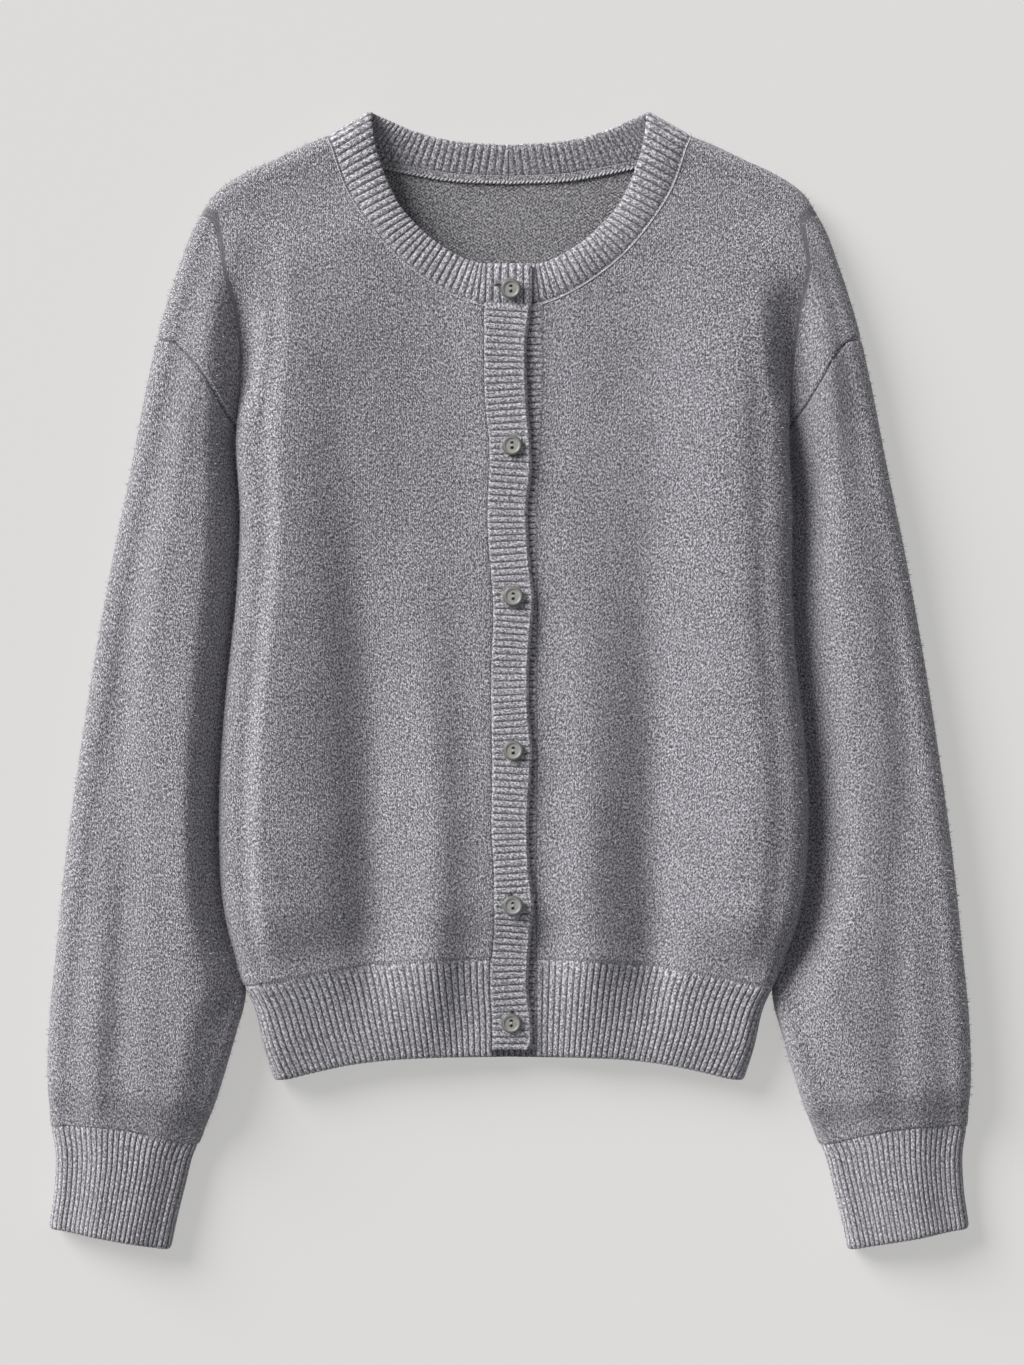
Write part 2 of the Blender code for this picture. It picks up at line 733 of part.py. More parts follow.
def lower_row(share, side):
    """One row of a front below the underarm; share runs from hem seam to underarm."""
    def places(outer_up, inner_up, reach_under):
        inner_x = band_seam(inner_up, side)
        start = side_across(outer_up) - side_reach(outer_up)
        quarter = math.pi / 2 * float(roll_radius(np.array(outer_up), side))
        x = mix(inner_x, start, np.linspace(0.0, 1.0, FRONT_INNER_CELLS + 1))
        roll = start + quarter * np.arange(1, ROLL_CELLS + 1) / ROLL_CELLS
        cap = np.arange(1, CAP_CELLS + 1) / CAP_CELLS
        under = start + quarter + (reach_under or quarter + WRAP_FLAT) * cap
        return np.concatenate([x, roll, under]), quarter

    seam_up = float(hem_seam(HEM_CORNER))
    outer_up = mix(HEM_SIDE_UP, ARMHOLE[0][1], share)
    inner_up = mix(seam_up, PLACKET_ROW_UP, share)
    u, quarter = places(outer_up, inner_up, None)
    narrowed = smoothstep(5.0 * share - 4.0)
    if narrowed > 0:
        reach_under = float(mix(quarter + WRAP_FLAT, UNDERARM_REACH, narrowed))
        u, _ = places(outer_up, inner_up, reach_under)
    lowest, _ = places(HEM_SIDE_UP, seam_up, None)
    top = np.full(len(u), ARMHOLE[0][1])
    top[: FRONT_INNER_CELLS + 1] = np.linspace(
        PLACKET_ROW_UP, ARMHOLE[0][1], FRONT_INNER_CELLS + 1
    )
    return u, mix(lower_edge(lowest, hem_seam, HEM_SIDE_UP), top, share)


def stations(points, count):
    """Evenly spaced points along a dense polyline."""
    return along(points, np.linspace(0.0, lengths(points)[-1], count))


def inside_outline(points):
    """The part of a dense polyline that lies inside the start of the outline's roll."""
    distance, foot, _ = outline_distance(points[:, 0], points[:, 1])
    reach = outer_height(foot[:, 0], foot[:, 1]) / 2
    return points[distance >= reach]


def neck_seam_plan(side):
    """Plan points of the neck seam from the placket to the start of the shoulder roll."""
    corner = float(band_seam(PLACKET_TOP_UP, side))
    dense = trace(NECK_FRONT, 400)
    return stations(inside_outline(dense[dense[:, 0] >= corner]), NECK_ROWS + 1)


def upper_rows(side):
    """Plan points of a front above the underarm: rows going up, columns going out."""
    neck = neck_seam_plan(side)
    up = np.linspace(PLACKET_ROW_UP, neck[0, 1], PLACKET_ROWS + 1)[1:]
    inner = np.concatenate([np.stack([band_seam(up, side), up], -1), neck[1:]])
    count = len(inner)
    fold_up = np.linspace(ARMHOLE[0][1], 320.0, 300)
    fold_line = inside_outline(np.stack([side_across(fold_up), fold_up], -1))
    fold = stations(fold_line, count + 1)[1:]
    arm = armhole_plan()[1:]
    rows = []
    for i in range(count):
        start = fold[i] - np.array([float(side_reach(fold[i, 1])), 0.0])
        top = mix(inner[i], start, np.linspace(0.0, 1.0, FRONT_INNER_CELLS + 1)[:, None])
        roll = mix(start, fold[i], (np.arange(1, ROLL_CELLS + 1) / ROLL_CELLS)[:, None])
        cap = mix(fold[i], arm[i], (np.arange(1, CAP_CELLS + 1) / CAP_CELLS)[:, None])
        rows.append(np.concatenate([top, roll, cap]))
    rows = np.array(rows)
    last = rows[-1]
    distance, foot, inward = outline_distance(last[:, 0], last[:, 1])
    reach = outer_height(foot[:, 0], foot[:, 1]) / 2
    bow = foot + inward * reach[:, None] - last
    ease = (np.arange(1, count + 1) / count)[:, None, None] ** 3
    return rows + bow[None] * ease


def armhole_plan():
    """Plan points of the armhole seam, one for each row of the front."""
    return stations(inside_outline(trace(ARMHOLE, 400)), PLACKET_ROWS + NECK_ROWS + 1)


def wrap_rows(last, side):
    """Rows that carry the last row on, round the shoulder and under."""
    _, foot, inward = outline_distance(last[:, 0], last[:, 1])
    reach = outer_height(foot[:, 0], foot[:, 1]) / 2
    top = form_top(last[:, 0], last[:, 1], side)
    half_turn = math.pi * (reach + top / 2) / 2
    runs = [half_turn * k / WRAP_ROWS for k in range(1, WRAP_ROWS + 1)]
    runs.append(half_turn + WRAP_FLAT)
    return np.array([last - inward * run[:, None] for run in runs])


def roll_blend(y):
    """How far the fold beside the body is a full roll: 1 at the underarm, 0 above."""
    return smoothstep((ARMHOLE[0][1] + 34.0 - y) / 34.0)


def upper_points(plan, side):
    """Outer face of a front above the underarm from its plan points."""
    points = wrapped(plan[..., 0], plan[..., 1], side)
    first = FRONT_INNER_CELLS
    last = first + ROLL_CELLS
    y = plan[:, first : last + 1, 1]
    turn = np.arange(ROLL_CELLS + 1) / ROLL_CELLS * math.pi / 2
    radius = roll_radius(y, side)
    as_roll = rolled(side_across(y) - side_reach(y) + turn * radius, y, side)
    share = roll_blend(y)[..., None]
    points[:, first : last + 1] = mix(points[:, first : last + 1], as_roll, share)
    return points


class Front:
    """One front's outer face as a grid, with the normals its neighbours share."""

    def __init__(self, side):
        self.side = side
        lower = [lower_row(i / LOWER_ROWS, side) for i in range(LOWER_ROWS + 1)]
        u = np.array([row[0] for row in lower])
        y = np.array([row[1] for row in lower])
        self.lower_count = len(lower)
        upper = upper_rows(side)
        self.upper_plan = np.concatenate([upper, wrap_rows(upper[-1], side)])
        low_points = rolled(u, y, side)
        high_points = upper_points(self.upper_plan, side)
        self.points = np.concatenate([low_points, high_points])
        normals = grid_normals(self.points)
        normals[0] = plan_normals(rolled, u[0], y[0], side)
        first = self.lower_count
        normals[:first, -1] = plan_normals(rolled, u[:, -1], y[:, -1], side)
        normals[-1] = (0.0, 0.0, -1.0)
        normals[first - 1, -CAP_CELLS - 1 :] = unit(np.array([1.0, 0.0, 0.8]))
        for j in (0, -1):
            plan = self.upper_plan[:-1, j]
            normals[first:-1, j] = plan_normals(wrapped, plan[:, 0], plan[:, 1], side)
        self.normals = normals
        self.neck_start = self.lower_count + PLACKET_ROWS - 1

    def inset(self):
        """The grid pulled in from every seam by half the seam gap."""
        points = self.points.copy()
        half = SEAM_GAP / 2
        for row, beyond in ((0, 1), (-1, -2)):
            points[row] += unit(points[beyond] - points[row]) * half
        for col, beyond in ((0, 1), (-1, -2)):
            points[:, col] += unit(points[:, beyond] - points[:, col]) * half
        return points


def build_front(name, collection, front):
    """A front panel, its inner face on fewer columns than its outer."""
    outer = front.inset()
    inner = outer - front.normals * WALL
    cols = outer.shape[1]
    trough = [] if front.side < 0 else [FRONT_TROUGH_COLUMN]
    kept = trough + list(range(FRONT_INNER_CELLS - 1, cols))
    return wall(
        name, collection, KNIT_COLOUR, outer, inner,
        inner_cols=every(cols, 2, kept), mirror=front.side < 0,
    )


# ---------------------------------------------------------------- hem bands


def rib_offsets(count, height):
    """Offsets along the normals that raise a rib at every second station."""
    raised = np.arange(count) % 2
    fade = smoothstep((height - 0.5) / 5.0)
    return (raised * RIB_RISE - RIB_SINK) * fade


def hem_corner_up(share):
    """Up beside the band, at a share of the hem band's height below its seam."""
    return float(mix(hem_seam(HEM_CORNER), hem_front_edge(HEM_CORNER), share))


def build_hem_front(name, collection, side):
    """A front hem band: ribs run down it and fade where it turns under."""
    rows = []
    for share, side_up in zip(HEM_SHARES, (HEM_SIDE_UP, -219.0, HEM_FOOT_UP)):
        inner_x = float(band_seam(hem_corner_up(share), side))
        start = float(side_across(side_up) - side_reach(side_up))
        radius = float(roll_radius(side_up, side))
        run = start - inner_x + math.pi * radius + WRAP_FLAT
        u = inner_x + np.linspace(0.0, run, 2 * HEM_RIBS + 1)
        seam = lower_edge(u, hem_seam, side_up)
        rows.append((u, mix(seam, lower_edge(u, hem_front_edge, side_up), share)))
    u = np.array([row[0] for row in rows])
    y = np.array([row[1] for row in rows])
    base = rolled(u, y, side)
    normals = plan_normals(rolled, u, y, side)
    normals[:, -1] = -UP
    floor_line = base[:, -1, :2].copy()
    base[0] += unit(base[1] - base[0]) * SEAM_GAP / 2
    for col, beyond in ((0, 1), (-1, -2)):
        base[:, col] += unit(base[:, beyond] - base[:, col]) * SEAM_GAP / 2
    ribs = rib_offsets(base.shape[1], base[..., 2])
    outer = base + normals * ribs[..., None]
    inner = base - normals * WALL
    wall(
        name, collection, RIB_COLOUR, outer, inner,
        inner_cols=every(base.shape[1], 4), mirror=side < 0,
    )
    return floor_line


# ---------------------------------------------------------------- sleeves and cuffs


def outer_base(up):
    """Start of the outline's roll, beside the outline's point at a height up."""
    order = np.argsort(OUTLINE_POINTS[:, 1])
    foot = np.stack(
        [np.interp(up, OUTLINE_POINTS[order, 1], OUTLINE_POINTS[order, 0]), up], -1
    )
    _, foot, inward = outline_distance(foot[..., 0], foot[..., 1])
    reach = outer_height(foot[..., 0], foot[..., 1]) / 2
    return foot + inward * reach[..., None]


def arm_ring(inner_up, outer_up, side, top, wrap, bottom, tuck, armhole=None):
    """Points round one ring: over the top, round the outer edge, under and back."""
    start = np.array([float(arm_start(inner_up)), inner_up])
    base = outer_base(np.array(outer_up))
    plan = mix(start, base, np.linspace(0.0, 1.0, top + 1)[:, None])
    if armhole is not None:
        plan = armhole
        base = plan[-1]
    _, foot, inward = outline_distance(base[0], base[1])
    reach = outer_height(foot[0], foot[1]) / 2
    height = arm_top(plan[:, 0], plan[:, 1], side)
    over = np.column_stack([plan, height])
    turn = np.arange(1, wrap + 1) / wrap * math.pi
    outer = np.column_stack(
        [base - inward * (float(reach) * np.sin(turn))[:, None],
         height[-1] / 2 * (1.0 + np.cos(turn))]
    )
    back = along(plan, lengths(plan)[-1] * (1.0 - np.arange(1, bottom + 1) / bottom))
    under = np.column_stack([back, np.zeros(bottom)])
    tuck_reach = float(mix(CUFF_LOW / 2, arm_reach(inner_up), cuff_height_share(*start)))
    turn = np.arange(1, tuck) / tuck * math.pi
    inner_way = unit(base - start)
    inner = np.column_stack(
        [plan[0] - inner_way * (tuck_reach * np.sin(turn))[:, None],
         height[0] / 2 * (1.0 - np.cos(turn))]
    )
    return np.concatenate([over, outer, under, inner])


def arm_grid(rings, side, top, wrap, bottom, tuck, armhole=None):
    """Rings of one sleeve or cuff as a grid of rows and closed columns."""
    rows = []
    for number, (inner_up, outer_up) in enumerate(rings):
        seam = armhole if number == 0 else None
        rows.append(
            arm_ring(inner_up, outer_up, side, top, wrap, bottom, tuck, armhole=seam)
        )
    return np.array(rows)


def ring_normals(points):
    """Outward normals of a closed grid whose rows run down the sleeve."""
    normals = -grid_normals(points, closed=True)
    normals[points[..., 2] < 0.01] = -UP
    return normals


def ring_inner(base, normals, corner):
    """Inner face of a sleeve, mitred where the inner edge stands square to the floor."""
    inner = base - normals * WALL
    tuck = base[:, corner + 1 :, 0]
    square = 1.0 - smoothstep((base[:, corner, 0] - tuck.min(1)) / 2.5)
    inner[:, corner, 0] += WALL * square
    inner[..., 2] = np.maximum(inner[..., 2], WALL)
    inner[:, corner + 1 :, 2] = np.maximum(inner[:, corner + 1 :, 2], WALL + 0.2)
    return inner


SLEEVE_WRAP = 6
SLEEVE_BOTTOM = 4
SLEEVE_TUCK = 4


def cuff_seam_normals(side, top, wrap, bottom, tuck):
    """Normals at the seam of sleeve and cuff, shared by both."""
    before = SLEEVE_RINGS[-2]
    seam = SLEEVE_RINGS[-1]
    after = CUFF_RINGS[1]
    near = [tuple(mix(np.array(seam), np.array(other), 0.12)) for other in (before, after)]
    grid = arm_grid((near[0], seam, near[1]), side, top, wrap, bottom, tuck)
    return ring_normals(grid)[1]


def build_sleeve(name, collection, side, front):
    """A sleeve: rings from the armhole to the cuff, flat where it rests."""
    seam = armhole_plan()
    top = len(seam) - 1
    base = arm_grid(SLEEVE_RINGS, side, top, SLEEVE_WRAP, SLEEVE_BOTTOM, SLEEVE_TUCK, seam)
    normals = ring_normals(base)
    plan = front.upper_plan[:-1, -1]
    normals[0, 0] = unit(np.array([-1.0, 0.0, 0.8]))
    normals[0, 1 : len(plan) + 1] = plan_normals(wrapped, plan[:, 0], plan[:, 1], side)
    normals[-1] = cuff_seam_normals(side, top, SLEEVE_WRAP, SLEEVE_BOTTOM, SLEEVE_TUCK)
    floor_line = base[0, top + SLEEVE_WRAP : top + SLEEVE_WRAP + SLEEVE_BOTTOM + 1, :2].copy()
    for row, beyond in ((0, 1), (-1, -2)):
        base[row] += unit(base[beyond] - base[row]) * SEAM_GAP / 2
    inner = ring_inner(base, normals, top + SLEEVE_WRAP + SLEEVE_BOTTOM)
    kept = [0, 1, 2, 3, 4, 6, 8, 10, 12] + list(range(top, base.shape[1]))
    wall(
        name, collection, KNIT_COLOUR, base, inner,
        inner_cols=sorted(set(kept)), closed=True, mirror=side < 0,
    )
    return floor_line


def build_cuff(name, collection, side):
    """A cuff: ribs run down it over the top and both edges, and it is flat beneath."""
    top, wrap, bottom, tuck = CUFF_RIBS, 8, 4, 8
    base = arm_grid(CUFF_RINGS, side, top, wrap, bottom, tuck)
    normals = ring_normals(base)
    normals[0] = cuff_seam_normals(side, top, wrap, bottom, tuck)
    base[0] += unit(base[1] - base[0]) * SEAM_GAP / 2
    ribs = rib_offsets(base.shape[1], base[..., 2])
    outer = base + normals * ribs[..., None]
    inner = base - normals * WALL
    cols = base.shape[1]
    return wall(
        name, collection, RIB_COLOUR, outer, inner,
        inner_cols=list(range(0, top, 4)) + list(range(top, cols)),
        closed=True, mirror=side < 0,
    )


# ---------------------------------------------------------------- front bands


def front_seam(y, front):
    """Where a front and its hem band end beside the placket, straight between their rows."""
    hem_up = [hem_corner_up(share) for share in HEM_SHARES[::-1]]
    edge = front.points[1 : front.neck_start + 1, 0]
    ups = np.concatenate([hem_up, edge[:, 1]])
    across = np.concatenate([band_seam(np.array(hem_up), front.side), edge[:, 0]])
    return np.interp(y, ups, across)


def build_placket(name, collection, front, rib_share, slit=()):
    """A front band: ribs run across it, up its whole length."""
    side = front.side
    count = 2 * int(round((PLACKET_TOP_UP - PLACKET_FOOT_UP) / PLACKET_RIB_PITCH))
    y = np.linspace(PLACKET_FOOT_UP, PLACKET_TOP_UP, count + 1) - SEAM_GAP / 2
    if side < 0:
        free = PLACKET_CORNER * (1.0 - smoothstep((y - PLACKET_FOOT_UP) / 9.0)) - top_free(y)
    else:
        free = np.full(len(y), -UNDER_BAND_REACH)
    middle = [np.full(len(y), -reach) for reach in slit[::-1]]
    grid_x = np.stack([free] + middle + [front_seam(y, front) - SEAM_GAP / 2], -1)
    grid_y = np.repeat(y[:, None], grid_x.shape[1], axis=1)
    neck_up = hermite([p[0] for p in NECK_FRONT], [p[1] for p in NECK_FRONT], grid_x[-1])
    grid_y[-1] += np.maximum(neck_up - PLACKET_TOP_UP - SEAM_GAP, 0.0)
    height = body_top(band_seam(y, side), y, side)[:, None] + 0.0 * grid_x
    raised = (np.arange(count + 1) % 2)[:, None]
    ribs = (raised * RIB_RISE - RIB_SINK) * np.array(rib_share)[None]
    outer = np.stack([grid_x, grid_y, height + ribs], -1)
    inner = np.stack([grid_x, grid_y, height - WALL], -1)
    slits = []
    inner_rows = every(count + 1, 6)
    if slit:
        for _, up in BUTTONS[1:]:
            rows = np.nonzero(np.abs((y[:-1] + y[1:]) / 2 - up) < BUTTONHOLE_LENGTH / 2)[0]
            slits += [(int(i), 1) for i in rows]
            inner_rows = sorted(set(inner_rows) | set(range(rows[0], rows[-1] + 2)))
    return wall(
        name, collection, RIB_COLOUR, outer, inner,
        inner_rows=inner_rows, slits=slits, mirror=side < 0,
    )


# ---------------------------------------------------------------- neckband


def back_neck_line(front):
    """Points of the back's neck seam on the floor, from the centre to the shoulder."""
    end = front.points[-1, 0, :2]
    return trace(NECK_BACK + (tuple(end),), 15)


def neck_half(front):
    """One half of the neckband from the centre back: base points, normals and runs."""
    side = front.side
    seam = front.points[front.neck_start :, 0]
    ways = front.normals[front.neck_start :, 0]
    back = back_neck_line(front)[::-1]
    back = np.column_stack([back, np.zeros(len(back))])[1:]
    end = dict(NECK_BAND_END)[side]
    ahead = np.array([[end, NECK_FRONT[1][1], float(seam[0, 2])]])
    line = np.concatenate([ahead, seam, back])[::-1]
    ways = np.concatenate(
        [np.tile(UP, (len(ahead), 1)), ways, np.tile(-UP, (len(back), 1))]
    )[::-1]
    fold = len(back) + 4
    run = lengths(line)
    run -= run[fold]
    behind = 2 * int(round(-run[0] / NECK_RIB_PITCH))
    ahead_count = int(round(2 * run[-1] / NECK_RIB_PITCH))
    at = np.concatenate(
        [np.linspace(run[0], 0.0, behind + 1), np.linspace(0.0, run[-1], ahead_count + 1)[1:]]
    )
    base = np.stack([np.interp(at, run, line[:, k]) for k in range(3)], -1)
    ways = unit(np.stack([np.interp(at, run, ways[:, k]) for k in range(3)], -1))
    runs = [row[0] for row in NECK_EDGE]
    edge = hermite(runs, [row[1:] for row in NECK_EDGE], at)
    beyond = np.maximum(at - runs[-1], 0.0)
    edge[:, 0] -= beyond
    edge[:, 2] += lap_lift(base[:, 0], base[:, 1], side) * smoothstep(at / 20.0)
    middle = mix(base, edge, 0.5)
    middle[:, 2] += NECK_BAND_BULGE * smoothstep(at / 20.0)
    points = np.stack([base, middle, edge])
    normals = -grid_normals(points)
    normals[0] = ways
    normals[1:, at > runs[-1] + 4.0] = UP
    points[0] += unit(points[1] - points[0]) * SEAM_GAP / 2
    if side < 0:
        points[..., 0] = -points[..., 0]
        normals[..., 0] = -normals[..., 0]
    return points, normals, at


def build_neckband(name, collection, fronts):
    """The neckband: one ribbed strip from the right front round the back to the left."""
    right, left = neck_half(fronts[0]), neck_half(fronts[1])
    base = np.concatenate([right[0][:, ::-1], left[0][:, 1:]], axis=1)
    normals = np.concatenate([right[1][:, ::-1], left[1][:, 1:]], axis=1)
    run = np.concatenate([right[2][::-1], left[2][1:]])
    count = base.shape[1]
    raised = np.arange(count) % 2
    front_share = smoothstep((run + 9.0) / 8.0)
    back_share = smoothstep((-run - 4.0) / 8.0)
    ribs = raised * RIB_RISE - RIB_SINK
    outer = base + normals * (ribs * front_share)[None, :, None]
    inner = base - normals * (WALL + ribs * back_share)[None, :, None]
    behind = [j for j in range(count) if run[j] < 4.0]
    ahead = [j for j in range(count) if run[j] > -12.0]
    return wall(
        name, collection, RIB_COLOUR, outer, inner,
        outer_cols=every(count, 4, ahead), inner_cols=every(count, 4, behind),
    )


# ---------------------------------------------------------------- back, tape and buttons


def mirrored(half):
    """A closed outline from its positive half, listed from the centre and back to it."""
    other = [(-x, y) for x, y in reversed(half) if x > 0.001]
    return half + other


def inset_line(points, amount):
    """A run of points moved to the right of its own direction, corners mitred."""
    points = np.asarray(points, float)
    steps = unit(np.diff(points, axis=0))
    rights = np.stack([steps[:, 1], -steps[:, 0]], -1)
    before = np.concatenate([rights[:1], rights])
    after = np.concatenate([rights, rights[-1:]])
    mitre = (before + after) / (1.0 + (before * after).sum(1))[:, None]
    return points + mitre * amount


def closed_on_centre(half):
    """A whole outline from the half listed from the centre round and back to it."""
    half = np.array(half)
    half[[0, -1], 0] = 0.0
    return mirrored([tuple(point) for point in half])


def build_back(collection, front, armhole):
    """The back panel: flat under the fronts, its edges their seams on the floor."""
    neck = back_neck_line(front)
    shoulder = front.points[-1, :, :2]
    floor_rows = [i for i in range(front.lower_count) if front.points[i, -1, 2] < 0.3]
    side = front.points[floor_rows[::-1], -1, :2]
    chord = (side[:-2, 0] + side[2:, 0]) / 2
    side[1:-1, 0] = np.minimum(side[1:-1, 0], chord)
    hem_x = np.linspace(side[-1, 0], 0.0, 9)
    hem = np.stack([hem_x, hem_seam(hem_x * 164.0 / hem_x[0])], -1)
    outline = np.concatenate(
        [neck, shoulder[1:], armhole[1:], UNDERARM_CORNER, side[:-1], hem]
    )
    outline = closed_on_centre(inset_line(outline, SEAM_GAP / 2))
    flat_panel("back", collection, KNIT_COLOUR, outline, WALL)


def build_hem_back(collection, side):
    """The back's hem band, flat under the front hem bands."""
    top_x = np.linspace(0.0, side[0, 0], 9)
    top = np.stack([top_x, hem_seam(top_x * 164.0 / top_x[-1])], -1)
    foot_x = np.linspace(side[-1, 0], 0.0, 9)
    foot = np.stack([foot_x, hem_back_edge(foot_x * 160.0 / foot_x[0])], -1)
    outline = inset_line(np.concatenate([top[:-1], side, foot[1:]]), SEAM_GAP / 2)
    flat_panel("hem_back", collection, RIB_COLOUR, closed_on_centre(outline), WALL)


def build_tape(collection, front):
    """The tape inside the back neck, along the neckband's seam."""
    line = back_neck_line(front)
    line = line[line[:, 0] < TAPE_REACH]
    top = inset_line(line, SEAM_GAP)
    foot = inset_line(line, TAPE_WIDTH)[::-1]
    outline = closed_on_centre(np.concatenate([top, foot]))
    lowest = WALL + SEAM_GAP
    flat_panel("neck_tape", collection, TAPE_COLOUR, outline, TAPE_THICKNESS, lowest)


def seat(piece, across, up):
    """Height and slopes of the plane a button rests on, over the ribs beneath it."""
    places, heights = [], []
    for radius in (0.0, 2.0, 4.0, 6.0):
        for step in range(12):
            turn = step * math.pi / 6
            x, y = across + radius * math.cos(turn), up + radius * math.sin(turn)
            hit, where, _, _ = piece.ray_cast((x * MM, y * MM, 1.0), (0.0, 0.0, -1.0))
            if hit and where.z > 0.008:
                places.append((1.0, x - across, y - up))
                heights.append(where.z / MM)
    plane = np.linalg.lstsq(np.array(places), np.array(heights), rcond=None)[0]
    clear = (np.array(heights) - np.array(places) @ plane).max()
    return plane[0] + clear, plane[1], plane[2]


def build_button(name, collection, across, up, under):
    """A dished button with a rounded rim and two holes, turned from its profile."""
    radius, thick = BUTTON_DIAMETER / 2, BUTTON_THICKNESS
    profile = (
        (0.0, thick - BUTTON_DISH),
        (radius - BUTTON_RIM - 0.9, thick - BUTTON_DISH),
        (radius - BUTTON_RIM, thick),
        (radius - 0.6, thick),
        (radius, thick - 0.8),
        (radius - 0.6, 0.0),
        (0.0, 0.0),
    )
    mesh = bpy.data.meshes.new(name)
    points = [(r * MM, 0.0, z * MM) for r, z in profile]
    mesh.from_pydata(points, [(i, i + 1) for i in range(len(points) - 1)], [])
    button = bpy.data.objects.new(name, mesh)
    collection.objects.link(button)
    turn = button.modifiers.new("turned", "SCREW")
    turn.steps = turn.render_steps = BUTTON_SEGMENTS
    turn.use_merge_vertices = True
    turn.merge_threshold = 0.00001
    turn.use_smooth_shade = True
    height, slope_x, slope_y = seat(under, across, up)
    place = (across * MM, up * MM, (height + SEAM_GAP) * MM)
    lean = (math.atan(slope_y), -math.atan(slope_x), 0.0)
    button.location, button.rotation_euler = place, lean
    for number, way in enumerate((-1, 1)):
        drill = bpy.data.meshes.new(name + "_drill")
        edit = bmesh.new()
        bmesh.ops.create_cone(
            edit, cap_ends=True, segments=HOLE_SEGMENTS, radius1=HOLE_DIAMETER / 2 * MM,
            radius2=HOLE_DIAMETER / 2 * MM, depth=3 * thick * MM,
            matrix=Matrix.Translation((0.0, way * HOLE_SPACING / 2 * MM, thick / 2 * MM)),
        )
        edit.to_mesh(drill)
        edit.free()
        cutter = bpy.data.objects.new(f"{name}_drill_{number + 1}", drill)
        bpy.data.collections[CUTTERS].objects.link(cutter)
        cutter.location, cutter.rotation_euler = place, lean
        cutter.hide_render = True
        cutter.display_type = "WIRE"
        cut = button.modifiers.new("thread hole", "BOOLEAN")
        cut.operation = "DIFFERENCE"
        cut.solver = "EXACT"
        cut.object = cutter
    mesh.materials.append(cloth_material(name, BUTTON_COLOUR, 0.35))
    return button


# ---------------------------------------------------------------- build


def main():
    for leftover in list(bpy.data.objects):
        bpy.data.objects.remove(leftover, do_unlink=True)
    collection = bpy.data.collections.new(NAME)
    cutters = bpy.data.collections.new(CUTTERS)
    bpy.context.scene.collection.children.link(collection)
    bpy.context.scene.collection.children.link(cutters)
    fronts = [Front(-1), Front(1)]
    for front, word in zip(fronts, ("right", "left")):
        build_front("front_" + word, collection, front)
        hem_floor = build_hem_front("hem_" + word, collection, front.side)
        armhole_floor = build_sleeve("sleeve_" + word, collection, front.side, front)
        build_cuff("cuff_" + word, collection, front.side)
    build_back(collection, fronts[1], armhole_floor)
    build_hem_back(collection, hem_floor)
    build_tape(collection, fronts[1])
    placket = build_placket(
        "placket_right", collection, fronts[0], (1.0, 1.0, 1.0, 1.0), BUTTONHOLE
    )
    build_placket("placket_left", collection, fronts[1], (0.2, 1.0))
    neckband = build_neckband("neckband", collection, fronts)
    for number, (across, up) in enumerate(BUTTONS, 1):
        under = neckband if number == 1 else placket
        build_button(f"button_{number}", collection, across, up, under)


main()
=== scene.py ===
"""Looks of a knitted button cardigan that lies flat on its back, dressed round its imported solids.

+X is the wearer's left, +Y runs up to the neck and +Z is up off the surface.  The cloth is made
on the form of one half, in millimetres across from the centre front and up from the origin, and
is written to meshes in metres.  Both halves share the tables; folds and the lap differ by side.
"""

from __future__ import annotations

import json
import logging
import math
from dataclasses import dataclass, field
from enum import Enum
from functools import partialmethod
from typing import Callable

import bmesh
import bpy
import numpy as np
from mathutils import Matrix, Vector

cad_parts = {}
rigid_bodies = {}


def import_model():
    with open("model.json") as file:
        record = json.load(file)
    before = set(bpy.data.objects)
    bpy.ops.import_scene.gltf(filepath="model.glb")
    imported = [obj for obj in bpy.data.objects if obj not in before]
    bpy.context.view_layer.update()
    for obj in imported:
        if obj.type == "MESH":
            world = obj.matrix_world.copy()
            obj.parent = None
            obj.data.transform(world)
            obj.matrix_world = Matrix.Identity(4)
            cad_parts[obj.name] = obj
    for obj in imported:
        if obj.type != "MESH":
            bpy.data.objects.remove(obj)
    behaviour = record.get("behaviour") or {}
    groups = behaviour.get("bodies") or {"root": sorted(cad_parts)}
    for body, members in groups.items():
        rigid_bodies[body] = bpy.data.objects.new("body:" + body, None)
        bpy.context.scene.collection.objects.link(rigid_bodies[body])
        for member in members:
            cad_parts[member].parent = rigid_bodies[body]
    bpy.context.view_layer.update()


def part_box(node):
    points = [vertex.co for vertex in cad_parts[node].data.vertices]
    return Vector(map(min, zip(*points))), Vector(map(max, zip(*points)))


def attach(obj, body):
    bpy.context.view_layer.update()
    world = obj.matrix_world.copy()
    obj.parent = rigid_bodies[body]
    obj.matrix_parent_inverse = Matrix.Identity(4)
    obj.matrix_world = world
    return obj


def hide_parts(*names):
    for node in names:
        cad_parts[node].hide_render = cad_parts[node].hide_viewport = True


Array = np.ndarray
Curve = Callable[[Array], Array]
Colour = tuple[float, float, float]
Piece = bpy.types.Object
Mesh = bpy.types.Mesh
NodeTree = bpy.types.NodeTree
Edit = bmesh.types.BMesh
log = logging.getLogger("cardigan")

MM = 0.001
BODY = "root"
UP = np.array([0.0, 0.0, 1.0])
MIRROR = np.array([-1.0, 1.0, 1.0])


class Side(Enum):
    """A half of the garment, by the wearer."""

    RIGHT = -1
    LEFT = 1

    @property
    def word(self) -> str:
        """The side's word in the names of nodes and pieces."""
        return self.name.lower()

    @property
    def index(self) -> int:
        """The side's place in a pair of values."""
        return (self.value + 1) // 2


# ---------- form of the garment

